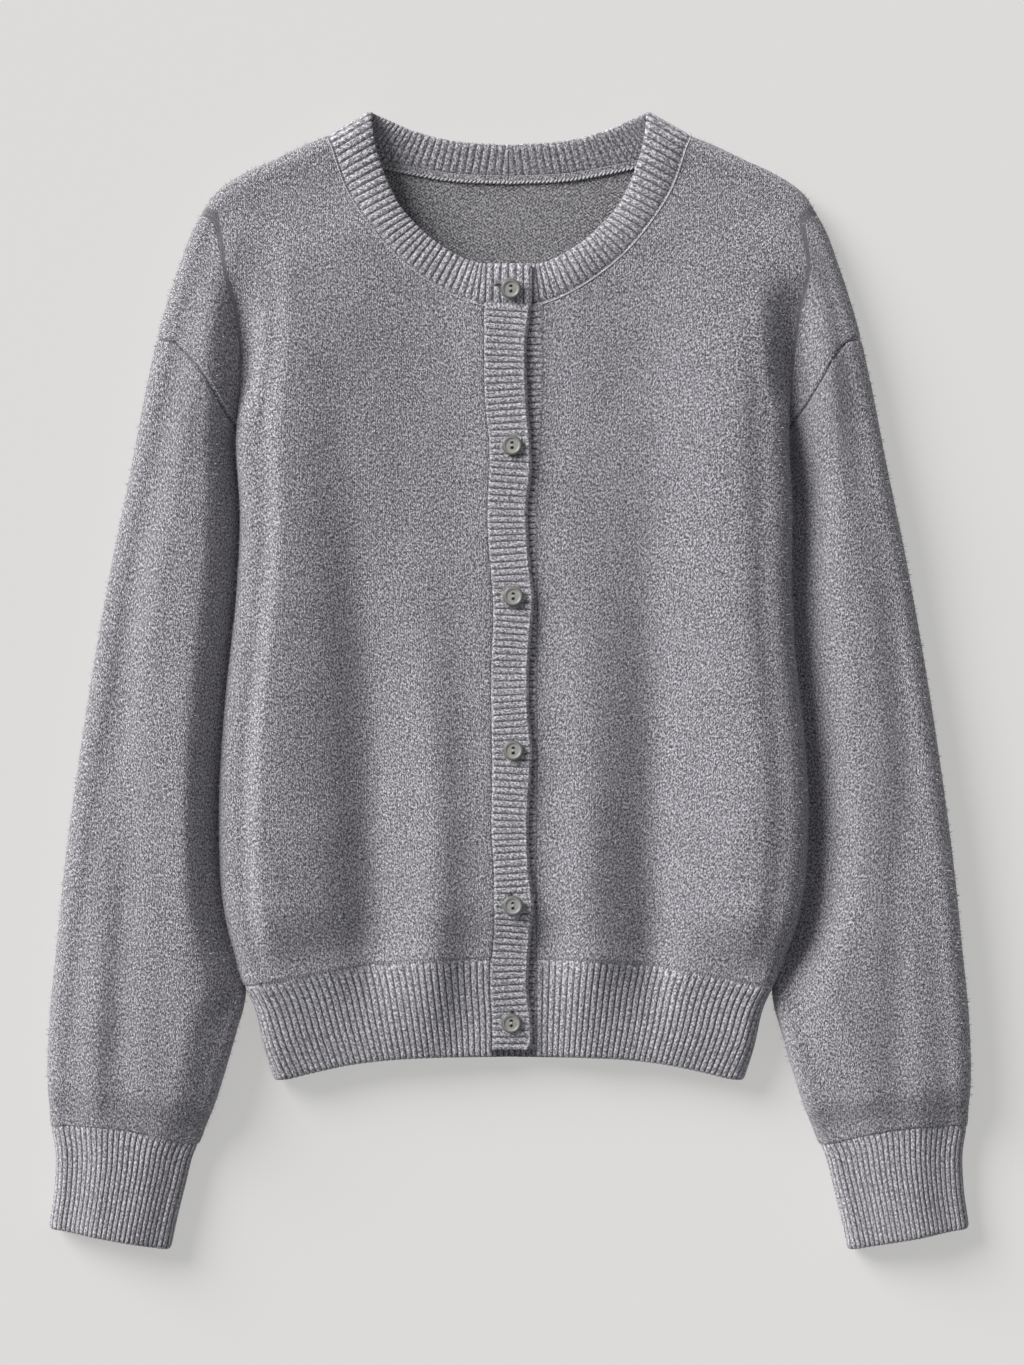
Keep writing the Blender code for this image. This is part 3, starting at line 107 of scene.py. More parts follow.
# Outline of shoulder and sleeve, from the neck down to the end of the cuff: across, up
OUTLINE = (
    (86, 352.5), (111, 339), (127.1, 332.3), (147.9, 322.4), (161.8, 316.2), (174.5, 308.8),
    (183.5, 301.5), (191, 289.5), (197.5, 277.5), (203.5, 261), (209.7, 242.7), (215.9, 222),
    (224.3, 185.4), (235.5, 127.1), (245.2, 80.6), (256.5, 18.6), (266.2, -43.4),
    (274.7, -105.4), (281, -166), (285.8, -218), (286.4, -250), (284.3, -275.9),
    (281.6, -293), (282.2, -315), (285.5, -339.8), (286.5, -352),
)

# Side of the body: up, across, reach of the roll, height at the edge, side ridge and centre
SIDE = (
    (320, 186, 30, 19, 20, 20), (303, 183, 30, 20, 21, 22), (274, 177, 28, 24, 25.5, 24),
    (251, 173.6, 25, 26, 29, 25), (232, 168.6, 22, 27, 31.5, 25.5),
    (206, 165.2, 18, 28, 33.5, 26), (181, 164, 15, 28, 35, 26.5), (157, 163.4, 14, 28, 36, 27),
    (111, 165, 14.5, 29, 37, 27.5), (50, 169.5, 15, 30, 38, 28), (-12, 176, 15, 30, 38.5, 28.5),
    (-74, 180, 15, 30, 39, 29), (-105, 179.8, 15, 30, 39, 29), (-136, 177.8, 14.8, 30, 38.5, 29),
    (-152, 175, 14.2, 30, 38, 29), (-167, 171, 13, 30, 38, 29), (-183, 166.3, 11.2, 30, 38, 29),
    (-190, 163.4, 10.4, 30, 38, 29), (-200, 158.6, 10, 30, 38, 29),
    (-229, 151.6, 8.5, 30, 38, 29), (-249, 145.2, 7.4, 30, 38, 29),
)

# Lower edges: across, up at the seam of the hem band, up at the front's free edge
HEM = (
    (0, -171.7, -232), (40, -172.3, -233.4), (75, -174.5, -235.2), (99, -177.5, -238.2),
    (123, -181.5, -243.4), (137, -184.3, -246.8), (150, -187, -248.7), (166, -189.5, -249),
)

# Sleeve: up, across where its top begins, reach of its inner roll, height there, crest, outer
ARM = (
    (320, 186, 0.5, 19, 20, 19), (303, 183, 0.5, 20.5, 21.5, 19), (274, 177, 0.5, 23.5, 25, 20),
    (251, 173.6, 0.5, 21, 27.5, 21.5), (232, 168.6, 0.5, 17.5, 29, 22.5),
    (206, 165.2, 0.5, 14, 30.5, 24), (181, 164, 0.5, 13.2, 31, 24),
    (157, 163.3, 0.2, 12.8, 31.5, 24), (146, 163.8, 1.2, 11, 31.5, 24),
    (132, 164.2, 2.6, 9, 31.5, 24), (108, 165.6, 2.6, 9.6, 31.5, 24),
    (50, 169.9, 2.4, 11.6, 31.5, 24), (-12, 176.4, 2.4, 12.6, 31.5, 24),
    (-74, 180.4, 2.4, 12.6, 32, 24), (-105, 180.2, 2.4, 12.6, 32, 24),
    (-136, 178.2, 2.4, 12.6, 32.5, 24), (-167, 171.9, 2.4, 12.6, 33, 24),
    (-183, 167.9, 3.2, 14, 33, 24), (-191, 168.2, 4.8, 16, 33, 24), (-201, 171, 6.6, 19, 33, 24),
    (-216, 177, 8.4, 22.5, 32.5, 23.5), (-245, 186, 9, 23.5, 31, 22.5),
    (-268, 193.6, 9, 22, 30, 21.5), (-283, 199.4, 8.6, 19, 30, 21), (-292, 204, 8, 16, 30, 21),
    (-310, 208.8, 8, 16, 30, 21), (-331, 214, 8, 16, 30, 21), (-352, 218.5, 8, 16, 30, 21),
)

# Rings round the sleeve and the cuff: up at the inner edge, up at the outer edge
SLEEVE_RINGS = (
    (157, 217.8), (145, 195), (130, 169), (104, 133), (68, 88), (22, 34), (-28, -22),
    (-76, -71), (-118, -112), (-150, -143), (-174, -166), (-191, -182), (-210, -200),
    (-238, -226), (-262, -249), (-276, -266), (-287.2, -277.5),
)
CUFF_RINGS = ((-287.2, -277.5), (-308, -296.5), (-330, -318), (-351.5, -339.8))

# Seam between the dropped shoulder and the sleeve, from the underarm outwards: across, up
ARMHOLE = (
    (163.3, 157), (167.5, 162.2), (173, 169), (181, 180.5), (190, 192), (200, 202.5),
    (210, 211.5), (218, 218.3),
)
UNDERARM = float(ARMHOLE[0][1])

# Neckband's seam on the front, from the placket to the shoulder, and on the back: across, up
NECK_FRONT = (
    (12, 232), (15, 232.5), (22.5, 234.6), (34.1, 239.3), (52.7, 250.5), (71.9, 266.6),
    (88.5, 287), (98.6, 303.5), (106.2, 324), (110.6, 339.2),
)
NECK_BACK = ((0, 314.3), (39.4, 316.4), (62, 320.4), (86, 325.2))

# Neckband's free edge: run along the seam from the shoulder fold, across, up, height
NECK_EDGE = (
    (-125, 0, 332.6, 5.2), (-84, 38, 335.6, 5.2), (-56, 60, 341.4, 5.4), (-34, 73, 346.8, 6),
    (-16, 81.5, 350.6, 7.4), (-6, 85.2, 352.2, 10.4), (0, 86.2, 352.6, 14), (6, 86, 349.5, 17.4),
    (15, 85, 341, 19.8), (29, 82, 326, 20.4), (43, 77.2, 312, 21), (57, 71.6, 299.6, 21.8),
    (71, 64.6, 289, 22.6), (85, 57.2, 281, 23.2), (99, 49.8, 274, 23.8),
    (113, 40.8, 267.2, 24.2), (127, 30.6, 261.2, 24.5), (141, 21, 257.6, 24.7),
    (155.5, 13.5, 256.4, 24.8),
)

# Front bands: up, right band's seam, how far its free edge passes the centre, left band's seam
BANDS = (
    (245, 15.3, 13.6, 21), (232, 15.3, 13.4, 21), (215, 15.3, 11, 21), (190, 15.3, 10.4, 21.2),
    (168, 14.4, 11.4, 20.6), (145, 12.2, 13.2, 19.2), (131, 12, 13.6, 18.2),
    (108, 13.2, 11.2, 17.4), (90, 13, 11.5, 17.2), (67, 11.2, 13.2, 17), (51, 10, 15, 17),
    (34, 9.8, 13.8, 17), (14, 10.7, 12.3, 17), (-20, 10.8, 12.1, 17), (-44, 10.4, 14, 17),
    (-66, 10.4, 12.6, 17), (-90, 10.8, 11.8, 16.8), (-118, 9.3, 12.6, 16.4),
    (-139, 9.1, 14.8, 16.2), (-156, 9.4, 13.3, 16.4), (-176, 11.5, 12, 17.2),
    (-192, 11.5, 11.6, 17.2), (-211, 10.5, 13.8, 17), (-230, 10.5, 14.2, 17),
)

# How far the folded cloth slides outwards at the side fold: up, right half, left half
SETTLE = (
    (285, 0, 0), (262, 0, 8), (232, 0, 11), (190, 2, 11), (150, 6, 10), (103, 1.5, 10),
    (55, 0, 6), (10, 0, 4), (-40, 0, 5), (-130, 0, 4), (-168, 0, 1.5), (-185, 0, 0),
)

# Centres of the buttons: across, up
BUTTON_PLACES = (
    (1.2, 241.2), (1.9, 144.5), (2.6, 51.5), (2.6, -43.4), (2.4, -138.9), (1.4, -212.0),
)


@dataclass(frozen=True)
class Fold:
    """A soft ridge or trough: its half width, and up, across and rise at places down it."""

    side: Side
    half_width: float
    places: tuple[tuple[float, float, float], ...]


FOLDS = (
    Fold(Side.RIGHT, 17, ((174, 106, -1.8), (-12, 90, -6.5), (-155, 86, -9.5))),
    Fold(Side.RIGHT, 14, ((60, 54, 0.6), (-70, 44, 5.6), (-160, 43, 6.2))),
    Fold(Side.LEFT, 15, ((60, 46, 0.6), (-70, 50, 5), (-160, 49, 5.6))),
    Fold(Side.LEFT, 15, ((120, 82, -0.8), (-20, 87, -6), (-160, 88, -9.5))),
    Fold(Side.RIGHT, 13, ((100, 233, -2.5), (-74, 238, -6), (-230, 241, -5))),
    Fold(Side.RIGHT, 12, ((110, 192, 1), (-74, 199, 3.4), (-225, 198, 2.4))),
    Fold(Side.LEFT, 12, ((120, 237, -1.6), (-43, 241, -3.2), (-230, 240, -3.2))),
)


def ease(value: Array | float) -> Array:
    """Ease from 0 to 1, level at both ends."""
    value = np.clip(value, 0.0, 1.0)
    return value * value * (3.0 - 2.0 * value)


def mix(low: Array | float, high: Array | float, share: Array | float) -> Array:
    """Blend of two values by a share."""
    return low + (high - low) * share


def unit(vectors: Array) -> Array:
    """Vectors at length one."""
    return vectors / np.maximum(np.linalg.norm(vectors, axis=-1), 1e-9)[..., None]


def steps(count: int, full: float = 1.0) -> Array:
    """Even steps from just past zero up to a full value."""
    return np.arange(1, count + 1) / count * full


def shares_of(count: int) -> Array:
    """Even shares from 0 to 1 over a count of cells."""
    return np.linspace(0.0, 1.0, count + 1)


def hermite(stations: Array, values: Array, at: Array) -> Array:
    """Smooth curve through a table's values.

    Args:
        stations: Rising places of the values.
        values: Numbers, or points in rows.
        at: Places to read, held inside the stations.

    Returns:
        The values there.
    """
    stations = np.asarray(stations, float)
    values = np.asarray(values, float)
    slopes = np.gradient(values, stations, axis=0)
    at = np.clip(np.asarray(at, float), stations[0], stations[-1])
    cell = np.clip(np.searchsorted(stations, at, side="right") - 1, 0, len(stations) - 2)
    width = stations[cell + 1] - stations[cell]
    t = (at - stations[cell]) / width
    if values.ndim > 1:
        t, width = t[..., None], width[..., None]
    start, end = values[cell], values[cell + 1]
    leave, arrive = slopes[cell] * width, slopes[cell + 1] * width
    return (
        start * (2 * t**3 - 3 * t**2 + 1)
        + leave * (t**3 - 2 * t**2 + t)
        + end * (3 * t**2 - 2 * t**3)
        + arrive * (t**3 - t**2)
    )


def columns(table: tuple) -> list[Curve]:
    """A table's columns as smooth functions of its first column."""
    stations, *rest = zip(*sorted(table))
    return [lambda at, values=values: hermite(stations, values, at) for values in rest]


def lengths(points: Array, axis: int = 0) -> Array:
    """Running length along a polyline, or along one axis of a grid."""
    gaps = np.linalg.norm(np.diff(points, axis=axis), axis=-1)
    return np.insert(np.cumsum(gaps, axis=axis), 0, 0.0, axis=axis)


def along(points: Array, at: Array) -> Array:
    """Points of a polyline at running lengths."""
    run = lengths(points)
    return np.stack([np.interp(at, run, points[:, k]) for k in range(points.shape[1])], -1)


def trace(points: tuple, count: int) -> Array:
    """Points evenly spaced along a smooth curve through a table's points."""
    points = np.asarray(points, float)
    run = lengths(points)
    return hermite(run, points, np.linspace(0.0, run[-1], count))


def stations(points: Array, count: int) -> Array:
    """Evenly spaced points along a dense polyline."""
    return along(points, np.linspace(0.0, lengths(points)[-1], count))


def grid_normals(points: Array, closed: bool = False) -> Array:
    """Normals of a grid whose rows run up and whose columns run outwards."""
    down = np.gradient(points, axis=0)
    if closed:
        out = (np.roll(points, -1, axis=1) - np.roll(points, 1, axis=1)) / 2
    else:
        out = np.gradient(points, axis=1)
    return unit(np.cross(out, down))


def beside(line: Array, away: float) -> Array:
    """A line moved over its plan, to the right of its own run."""
    way = unit(np.gradient(line[:, :2], axis=0))
    moved = line.copy()
    moved[:, :2] += np.stack([way[:, 1], -way[:, 0]], -1) * away
    return moved


@dataclass
class Form:
    """Outer face of the garment over the plan of one half, in mm; pairs are right, then left."""

    ridge_in: float = 12
    ridge_fall: tuple[float, float] = (76.0, 54.0)
    left_edge_lift: float = 9
    left_ridge_lift: float = 4
    settle_reach: float = 45
    shoulder_rise: float = 62
    hem_height: float = 22.5
    hem_slope: float = 0.105
    hem_blouse: float = 38
    hem_lift: float = 5.5
    hem_lift_slope: float = 0.07
    hem_ease: float = 7
    hem_side_up: float = -189.2
    hem_foot_up: float = -248.8
    lower_roll_radius: float = 11
    arm_rise: tuple[float, float] = (22.0, 37.0)
    arm_hollow: tuple[float, float] = (1.0, 1.6)
    arm_lift_left: float = 4.5
    low_lift: float = 2
    low_reach: float = 24
    arm_fall: float = 24
    cuff_low: float = 16
    cuff_crest: float = 21.5
    cuff_outer: float = 16
    cuff_blouse: float = 30
    cuff_seam: tuple = ((284.3, -277.5), (195.6, -287.2))
    cuff_bow: float = 3.2
    cuff_bow_fade: float = 42
    lap: tuple[float, float] = (1.8, -1.9)
    lap_fade: float = 25
    fold_fade: float = 45
    fold_fade_low: float = 72
    wrap_flat: float = 2
    underarm_reach: float = 1.2
    band_top_up: float = 232.2
    band_foot_up: float = -229.4
    band_row_up: float = 150
    hem_seam_in: float = 15
    uneven: float = 0.34
    waves: int = 22

    def __post_init__(self) -> None:
        """Turn the tables into curves."""
        self.side_across, self.side_reach, self.side_edge, self.side_ridge, self.side_centre = (
            columns(SIDE)
        )
        self.hem_seam, self.hem_edge = columns(HEM)
        self.arm_start, self.arm_reach, self.arm_low, self.arm_crest, self.arm_outer = columns(ARM)
        self.band_seam, self.band_free, self.under_seam = columns(BANDS)
        self.slides = columns(SETTLE)
        self.outline = trace(OUTLINE, 900)
        self.tangents = unit(np.gradient(self.outline, axis=0))
        self.inward = np.stack([self.tangents[:, 1], -self.tangents[:, 0]], -1)
        draw = np.random.default_rng(7)
        spans = ((26.0, 95.0), (0.0, math.pi), (0.0, 2 * math.pi))
        self.lumps = np.stack([draw.uniform(*span, self.waves) for span in spans], -1)

    def unevenness(self, x: Array, y: Array, side: Side) -> Array:
        """Slight lumps of cloth that was laid by hand."""
        height = np.zeros(np.shape(x))
        for length, turn, phase in self.lumps:
            k = 2 * math.pi / length
            height = height + (length / 60.0) * np.sin(
                k * (x * side.value * math.cos(turn) + 0.55 * y * math.sin(turn)) + phase
            )
        return height * self.uneven / math.sqrt(self.waves / 2)

    def outline_distance(self, x: Array, y: Array) -> tuple[Array, Array, Array]:
        """Distance in from the outline, the nearest point on it and the way in."""
        p = np.stack([np.ravel(x), np.ravel(y)], -1).astype(float)
        near = np.empty(len(p), int)
        for start in range(0, len(p), 4000):
            block = p[start : start + 4000]
            gaps = ((block[:, None, :] - self.outline[None]) ** 2).sum(-1)
            near[start : start + 4000] = gaps.argmin(1)
        inward = self.inward[near]
        step = p - self.outline[near]
        slide = (step * self.tangents[near]).sum(1)
        foot = self.outline[near] + self.tangents[near] * slide[:, None]
        distance = (step * inward).sum(1)
        shape = np.shape(x)
        return distance.reshape(shape), foot.reshape(shape + (2,)), inward.reshape(shape + (2,))

    def rim(self, x: Array, y: Array) -> tuple[Array, Array, Array, Array]:
        """Outline distance, nearest point, way in, and reach of the roll there."""
        distance, foot, inward = self.outline_distance(x, y)
        return distance, foot, inward, self.outer_height(foot[..., 0], foot[..., 1]) / 2

    def past_roll(self, x: Array, y: Array, outer: Array, width: float) -> Array:
        """Ease from 0 where the outline's roll begins to 1 a width further in."""
        return ease((self.outline_distance(x, y)[0] - outer / 2) / width)

    def outline_across(self, up: Array) -> Array:
        """How far across the outline lies at a height up."""
        order = np.argsort(self.outline[:, 1])
        return np.interp(up, self.outline[order, 1], self.outline[order, 0])

    def folds_height(self, x: Array, y: Array, side: Side) -> Array:
        """Sum of the soft folds of one side at a place."""
        height = self.unevenness(x, y, side)
        for fold in FOLDS:
            if fold.side is not side:
                continue
            across, rise = (curve(y) for curve in columns(fold.places))
            top, foot = fold.places[0][0], fold.places[-1][0]
            ends = ease((y - foot) / self.fold_fade_low + 1) * ease((top - y) / self.fold_fade + 1)
            height = height + rise * ends * np.exp(-(((x - across) / fold.half_width) ** 2))
        return height

    def cuff_share(self, x: Array, y: Array) -> Array:
        """1 on the sleeve, falling to 0 where the cuff is joined on."""
        (ox, oy), (ix, iy) = self.cuff_seam
        run = math.hypot(ox - ix, oy - iy)
        up_x, up_y = -(oy - iy) / run, (ox - ix) / run
        return ease(((x - ix) * up_x + (y - iy) * up_y) / self.cuff_blouse)

    def outer_height(self, x: Array, y: Array) -> Array:
        """Height of the roll at the outline."""
        return mix(self.cuff_outer, self.arm_outer(y), self.cuff_share(x, y))

    def seam_across(self, y: Array, side: Side) -> Array:
        """Where a front is joined to its band."""
        return self.band_seam(y) if side is Side.RIGHT else self.under_seam(y)

    def lap_lift(self, x: Array, y: Array, side: Side) -> Array:
        """How far the front overlap lifts one front and sinks the other."""
        away = (x - self.seam_across(y, side)) / self.lap_fade
        return self.lap[side.index] * (1 - ease(away))

    def body_top(self, x: Array, y: Array, side: Side) -> Array:
        """Height of the front's outer face inside the side folds."""
        inside = self.side_across(y) - self.side_reach(y) - x
        edge, ridge, centre = self.side_edge(y), self.side_ridge(y), self.side_centre(y)
        if side is Side.LEFT:
            edge = np.minimum(edge + self.left_edge_lift, ridge)
            ridge = ridge + self.left_ridge_lift * ease((230 - y) / 60.0)
        height = edge + (ridge - edge) * ease(inside / self.ridge_in)
        fall = (inside - self.ridge_in) / self.ridge_fall[side.index]
        height = height - (ridge - centre) * ease(fall)
        outer = self.arm_outer(y)
        settled = self.past_roll(x, y, outer, self.shoulder_rise)
        height = mix(outer, height, settled)
        above = y - self.hem_seam(x)
        side_share = ease((x - 24.0) / 36.0)
        below = np.minimum(above, 0.0)
        hem = self.hem_height + self.hem_slope * below
        hem = hem + (self.hem_lift + self.hem_lift_slope * below) * side_share
        blouse = self.hem_blouse + self.hem_ease * side_share
        height = mix(hem, height, ease(above / blouse))
        return height + self.folds_height(x, y, side) * settled + self.lap_lift(x, y, side)

    def fold_low(self, x: Array, y: Array, side: Side) -> Array:
        """Height at the bottom of the fold beside the body, level with the roll near it."""
        outer, low = self.arm_outer(y), self.arm_low(y)
        if side is Side.RIGHT:
            low = low + self.low_lift * ease((190 - y) / 90.0)
        low = mix(low, self.side_edge(y), ease((y - 228.0) / 46.0))
        return mix(outer, low, self.past_roll(x, y, outer, self.low_reach))

    def arm_top(self, x: Array, y: Array, side: Side) -> Array:
        """Height of the outer face outside the side folds, down to the cuff."""
        share = self.cuff_share(x, y)
        low = mix(self.cuff_low, self.fold_low(x, y, side), share)
        crest = mix(self.cuff_crest, self.arm_crest(y), share)
        outer = mix(self.cuff_outer, self.arm_outer(y), share)
        if side is Side.LEFT:
            crest = np.maximum(crest, outer + 1.0)
            outer = outer + self.arm_lift_left * ease((170 - y) / 60.0) * share
        top = outer + (crest - outer) * self.past_roll(x, y, outer, self.arm_fall)
        top = top + self.folds_height(x, y, side) * share
        out = np.clip((x - self.arm_start(y)) / self.arm_rise[side.index], 0, 1.0)
        hollow = mix(1.0, self.arm_hollow[side.index], ease((150 - y) / 40.0))
        return low + (top - low) * np.sin(out * math.pi / 2) ** hollow

    def top(self, x: Array, y: Array, side: Side) -> Array:
        """Height of the outer face above the underarm, with the fold beside the body."""
        fold = self.side_across(y)
        into_fold = ease(1 - (fold - x) / self.side_reach(y))
        body = mix(self.body_top(x, y, side), self.fold_low(x, y, side), into_fold)
        return np.where(x < fold, body, self.arm_top(np.maximum(x, fold), y, side))

    def wrapped(self, x: Array, y: Array, side: Side) -> Array:
        """Outer face at a place in the unrolled plan, rolled under at the outline."""
        distance, foot, inward, reach = self.rim(x, y)
        inside = distance >= reach
        base = foot + inward * reach[..., None]
        bx = np.where(inside, x, base[..., 0])
        by = np.where(inside, y, base[..., 1])
        top = self.top(bx, by, side)
        radius = (reach + top / 2) / 2
        turn = np.where(inside, 0, (reach - distance) / radius)
        past = np.maximum(turn - math.pi, 0) * radius
        turn = np.clip(turn, 0, math.pi)
        out = past - reach * np.sin(turn)
        flat = np.stack([bx, by], -1) + inward * out[..., None]
        return np.concatenate([flat, (top / 2 * (1 + np.cos(turn)))[..., None]], -1)

    def roll_start(self, y: Array) -> Array:
        """Where the body's side roll begins."""
        return self.side_across(y) - self.side_reach(y)

    def roll_radius(self, y: Array, side: Side) -> Array:
        """Mean radius of the body's side roll."""
        height = self.body_top(self.roll_start(y), y, side)
        return (self.side_reach(y) + height / 2) / 2

    def rolled(self, u: Array, y: Array, side: Side) -> Array:
        """Outer face of the body in the unrolled plan, rolled under at its side."""
        start = self.roll_start(y)
        k = u - start
        x = start + np.minimum(k, 0.0)
        top = self.body_top(x, y, side)
        radius = self.roll_radius(y, side)
        turn = np.clip(np.maximum(k, 0.0) / radius, 0, math.pi)
        past = np.maximum(k - math.pi * radius, 0.0)
        x = x + self.side_reach(y) * np.sin(turn) - past
        return np.stack([x, y + 0 * k, top / 2 * (1 + np.cos(turn))], -1)

    def lower_edge(self, u: Array, edge: Curve, side_up: float) -> Array:
        """Up along a lower edge, carried over the side roll and level beneath it."""
        start = self.roll_start(side_up)
        turn = np.clip((u - start) / self.lower_roll_radius, 0, math.pi / 2)
        return edge(np.minimum(u, start) + self.side_reach(side_up) * np.sin(turn))

    def inside_outline(self, points: Array) -> Array:
        """The part of a dense polyline inside the start of the outline's roll."""
        distance, _, _, reach = self.rim(points[:, 0], points[:, 1])
        return points[distance >= reach]

    def settle(self, points: Array, side: Side) -> Array:
        """Slide the cloth outwards round the side fold; the outline stays."""
        x, y = points[..., 0], points[..., 1]
        fold = self.side_across(y)
        edge = self.outline_across(y)
        outer = ease(1 - (x - fold) / np.maximum(edge - fold, 6.0))
        inner = ease(1 - (fold - x) / self.settle_reach)
        slide = self.slides[side.index](y) * np.where(x > fold, outer, inner)
        return np.stack([x + slide, y, points[..., 2]], -1)

    def outer_base(self, up: float) -> Array:
        """Start of the outline's roll, beside the outline's point at a height up."""
        _, foot, inward, reach = self.rim(self.outline_across(up), np.array(up))
        return foot + inward * reach


# ---------- cloth

RIM_SHARES = (0.15, 0.4, 0.7)
RIB_WIDTH = 3.5


def add_rows(grid: Array) -> Array:
    """A grid with close rows added inside its first and last rows."""
    first = [mix(grid[0], grid[1], share) for share in RIM_SHARES]
    last = [mix(grid[-1], grid[-2], share) for share in reversed(RIM_SHARES)]
    return np.concatenate([grid[:1], first, grid[1:-1], last, grid[-1:]])


def finer_rims(grid: Array, across: bool = True) -> Array:
    """A grid with close rows along its rims, and close columns too where asked."""
    grid = add_rows(grid)
    return np.swapaxes(add_rows(np.swapaxes(grid, 0, 1)), 0, 1) if across else grid


def rib_shape(phase: Array) -> Array:
    """Height of a knitted rib: broad round ridges, narrow valleys at whole numbers."""
    return np.abs(np.sin(math.pi * phase)) ** 0.36


def rib_valley(phase: Array) -> Array:
    """How deep in a valley between ribs a place lies, used as the strength of painted shade there.
    """
    return (1.0 - np.abs(np.sin(math.pi * phase))) ** 2.6


@dataclass
class Cloth:
    """A piece of cloth as a grid on its outer face, in millimetres.

    Rows run up or down the piece and columns run across it.  The chart holds the cloth's own
    coordinates, across the stitch columns and along them, with one column more when closed.
    """

    points: Array
    chart: Array
    closed: bool = False
    normals: Array | None = None
    inner: Array | None = None
    # valley and inner_valley: how much painted shade each point of the outer and inner face gets,
    # in rib valleys, along seams and in buttonholes
    valley: Array | float = 0.0
    inner_valley: Array | float = 0.0

    @classmethod
    def finer(cls, points: Array, chart: Array, across: bool = True, closed: bool = False
              ) -> Cloth:
        """Cloth with its rims made finer."""
        return cls(finer_rims(points, across), finer_rims(chart, across), closed)

    def face_normals(self, flip: bool = False) -> Array:
        """Normals of the outer face, kept once worked out."""
        if self.normals is None:
            ways = grid_normals(self.points, self.closed)
            self.normals = -ways if flip else ways
        return self.normals

    def edge_runs(self) -> dict[str, Array]:
        """Distance of each point from the first and last row and column."""
        down, out = lengths(self.points), lengths(self.points, 1)
        return {"first": down, "last": down[-1:] - down, "near": out, "far": out[:, -1:] - out}

    def sink_edges(self, **edges: tuple[float, float]) -> Array:
        """Depth to sink the outer face near its edges, for seams and soft rims.

        Args:
            edges: Depth and width by edge: first or last row, near or far column.

        Returns:
            The depth at each point.
        """
        runs = self.edge_runs()
        depth = np.zeros(self.points.shape[:2])
        for edge, (deep, wide) in edges.items():
            depth = np.maximum(depth, deep * (1.0 - ease(runs[edge] / wide)))
        return depth

    def ribs(self, phase: Array, rise: float) -> tuple[Array, Array]:
        """Relief of ribs that fade where the cloth turns under, and how they fade."""
        fade = ease((self.points[..., 2] - 0.5) / 5.0)
        seam = ease(self.edge_runs()["first"] / 4.0) * 0.7 + 0.3
        return (rib_shape(phase) - 0.45) * rise * fade * seam, fade

    def area(self) -> float:
        """Area of the grid's face in square metres."""
        p = self.points
        if self.closed:
            p = np.hstack([p, p[:, :1]])
        diagonals = np.cross(p[1:, 1:] - p[:-1, :-1], p[1:, :-1] - p[:-1, 1:])
        return float(np.linalg.norm(diagonals, axis=-1).sum() / 2) * MM * MM


def new_object(name: str, mesh: Mesh) -> Piece:
    """A mesh as an object of the scene."""
    piece = bpy.data.objects.new(name, mesh)
    bpy.context.scene.collection.objects.link(piece)
    return piece


def listed_mesh(name: str, points: list, edges: list = (), faces: list = ()) -> Piece:
    """An object from lists of points, edges and faces."""
    mesh = bpy.data.meshes.new(name)
    mesh.from_pydata(points, edges, faces)
    return new_object(name, mesh)


def edited_mesh(name: str, edit: Edit) -> Piece:
    """An object from a mesh that was being edited."""
    mesh = bpy.data.meshes.new(name)
    edit.to_mesh(mesh)
    edit.free()
    return new_object(name, mesh)


def mark_points(mesh: Mesh, name: str, values: Array) -> None:
    """A value for each point of a mesh."""
    attribute = mesh.attributes.new(name, "FLOAT", "POINT")
    attribute.data.foreach_set("value", np.ascontiguousarray(values, np.float32))


def quad_mesh(name: str, points: Array, quads: Array, chart: Array, valley: Array) -> Piece:
    """An object from points, quads, a UV map and the painted shade of each point between ribs and
    at seams.

    Args:
        name: Name of the object.
        points: Points in metres.
        quads: Four point numbers a row.
        chart: Two coordinates for each quad's corner, in metres.
        valley: Painted shade for each point, as a value.
    """
    mesh = bpy.data.meshes.new(name)
    mesh.vertices.add(len(points))
    mesh.vertices.foreach_set("co", np.ascontiguousarray(points, np.float32).ravel())
    mesh.loops.add(quads.size)
    mesh.loops.foreach_set("vertex_index", np.ascontiguousarray(quads, np.int32).ravel())
    mesh.polygons.add(len(quads))
    mesh.polygons.foreach_set("loop_start", np.arange(0, quads.size, 4, dtype=np.int32))
    mesh.polygons.foreach_set("use_smooth", np.ones(len(quads), bool))
    layer = mesh.uv_layers.new(name="cloth")
    layer.uv.foreach_set("vector", np.ascontiguousarray(chart, np.float32).ravel())
    mark_points(mesh, "valley", valley)
    mesh.update(calc_edges=True)
    mesh.validate()
    return new_object(name, mesh)


def grid_quads(rows: int, cols: int, closed: bool) -> Array:
    """Four point numbers for each cell of a grid, closed across or not."""
    cells = np.arange(rows - 1), np.arange(cols if closed else cols - 1)
    i, j = np.meshgrid(*cells, indexing="ij")
    k, i = (j + 1) % cols, i * cols
    return np.stack([i + j, i + k, i + cols + k, i + cols + j], -1).reshape(-1, 4)


def border(rows: int, cols: int, closed: bool) -> list[list[tuple[int, int]]]:
    """Loops of grid places round a grid's free edges, in the outer face's own turn."""
    first = [(0, j) for j in range(cols)]
    last = [(rows - 1, j) for j in range(cols - 1, -1, -1)]
    if closed:
        return [first, last]
    far = [(i, cols - 1) for i in range(1, rows - 1)]
    return [first + far + last + [(i, 0) for i in range(rows - 2, 0, -1)]]


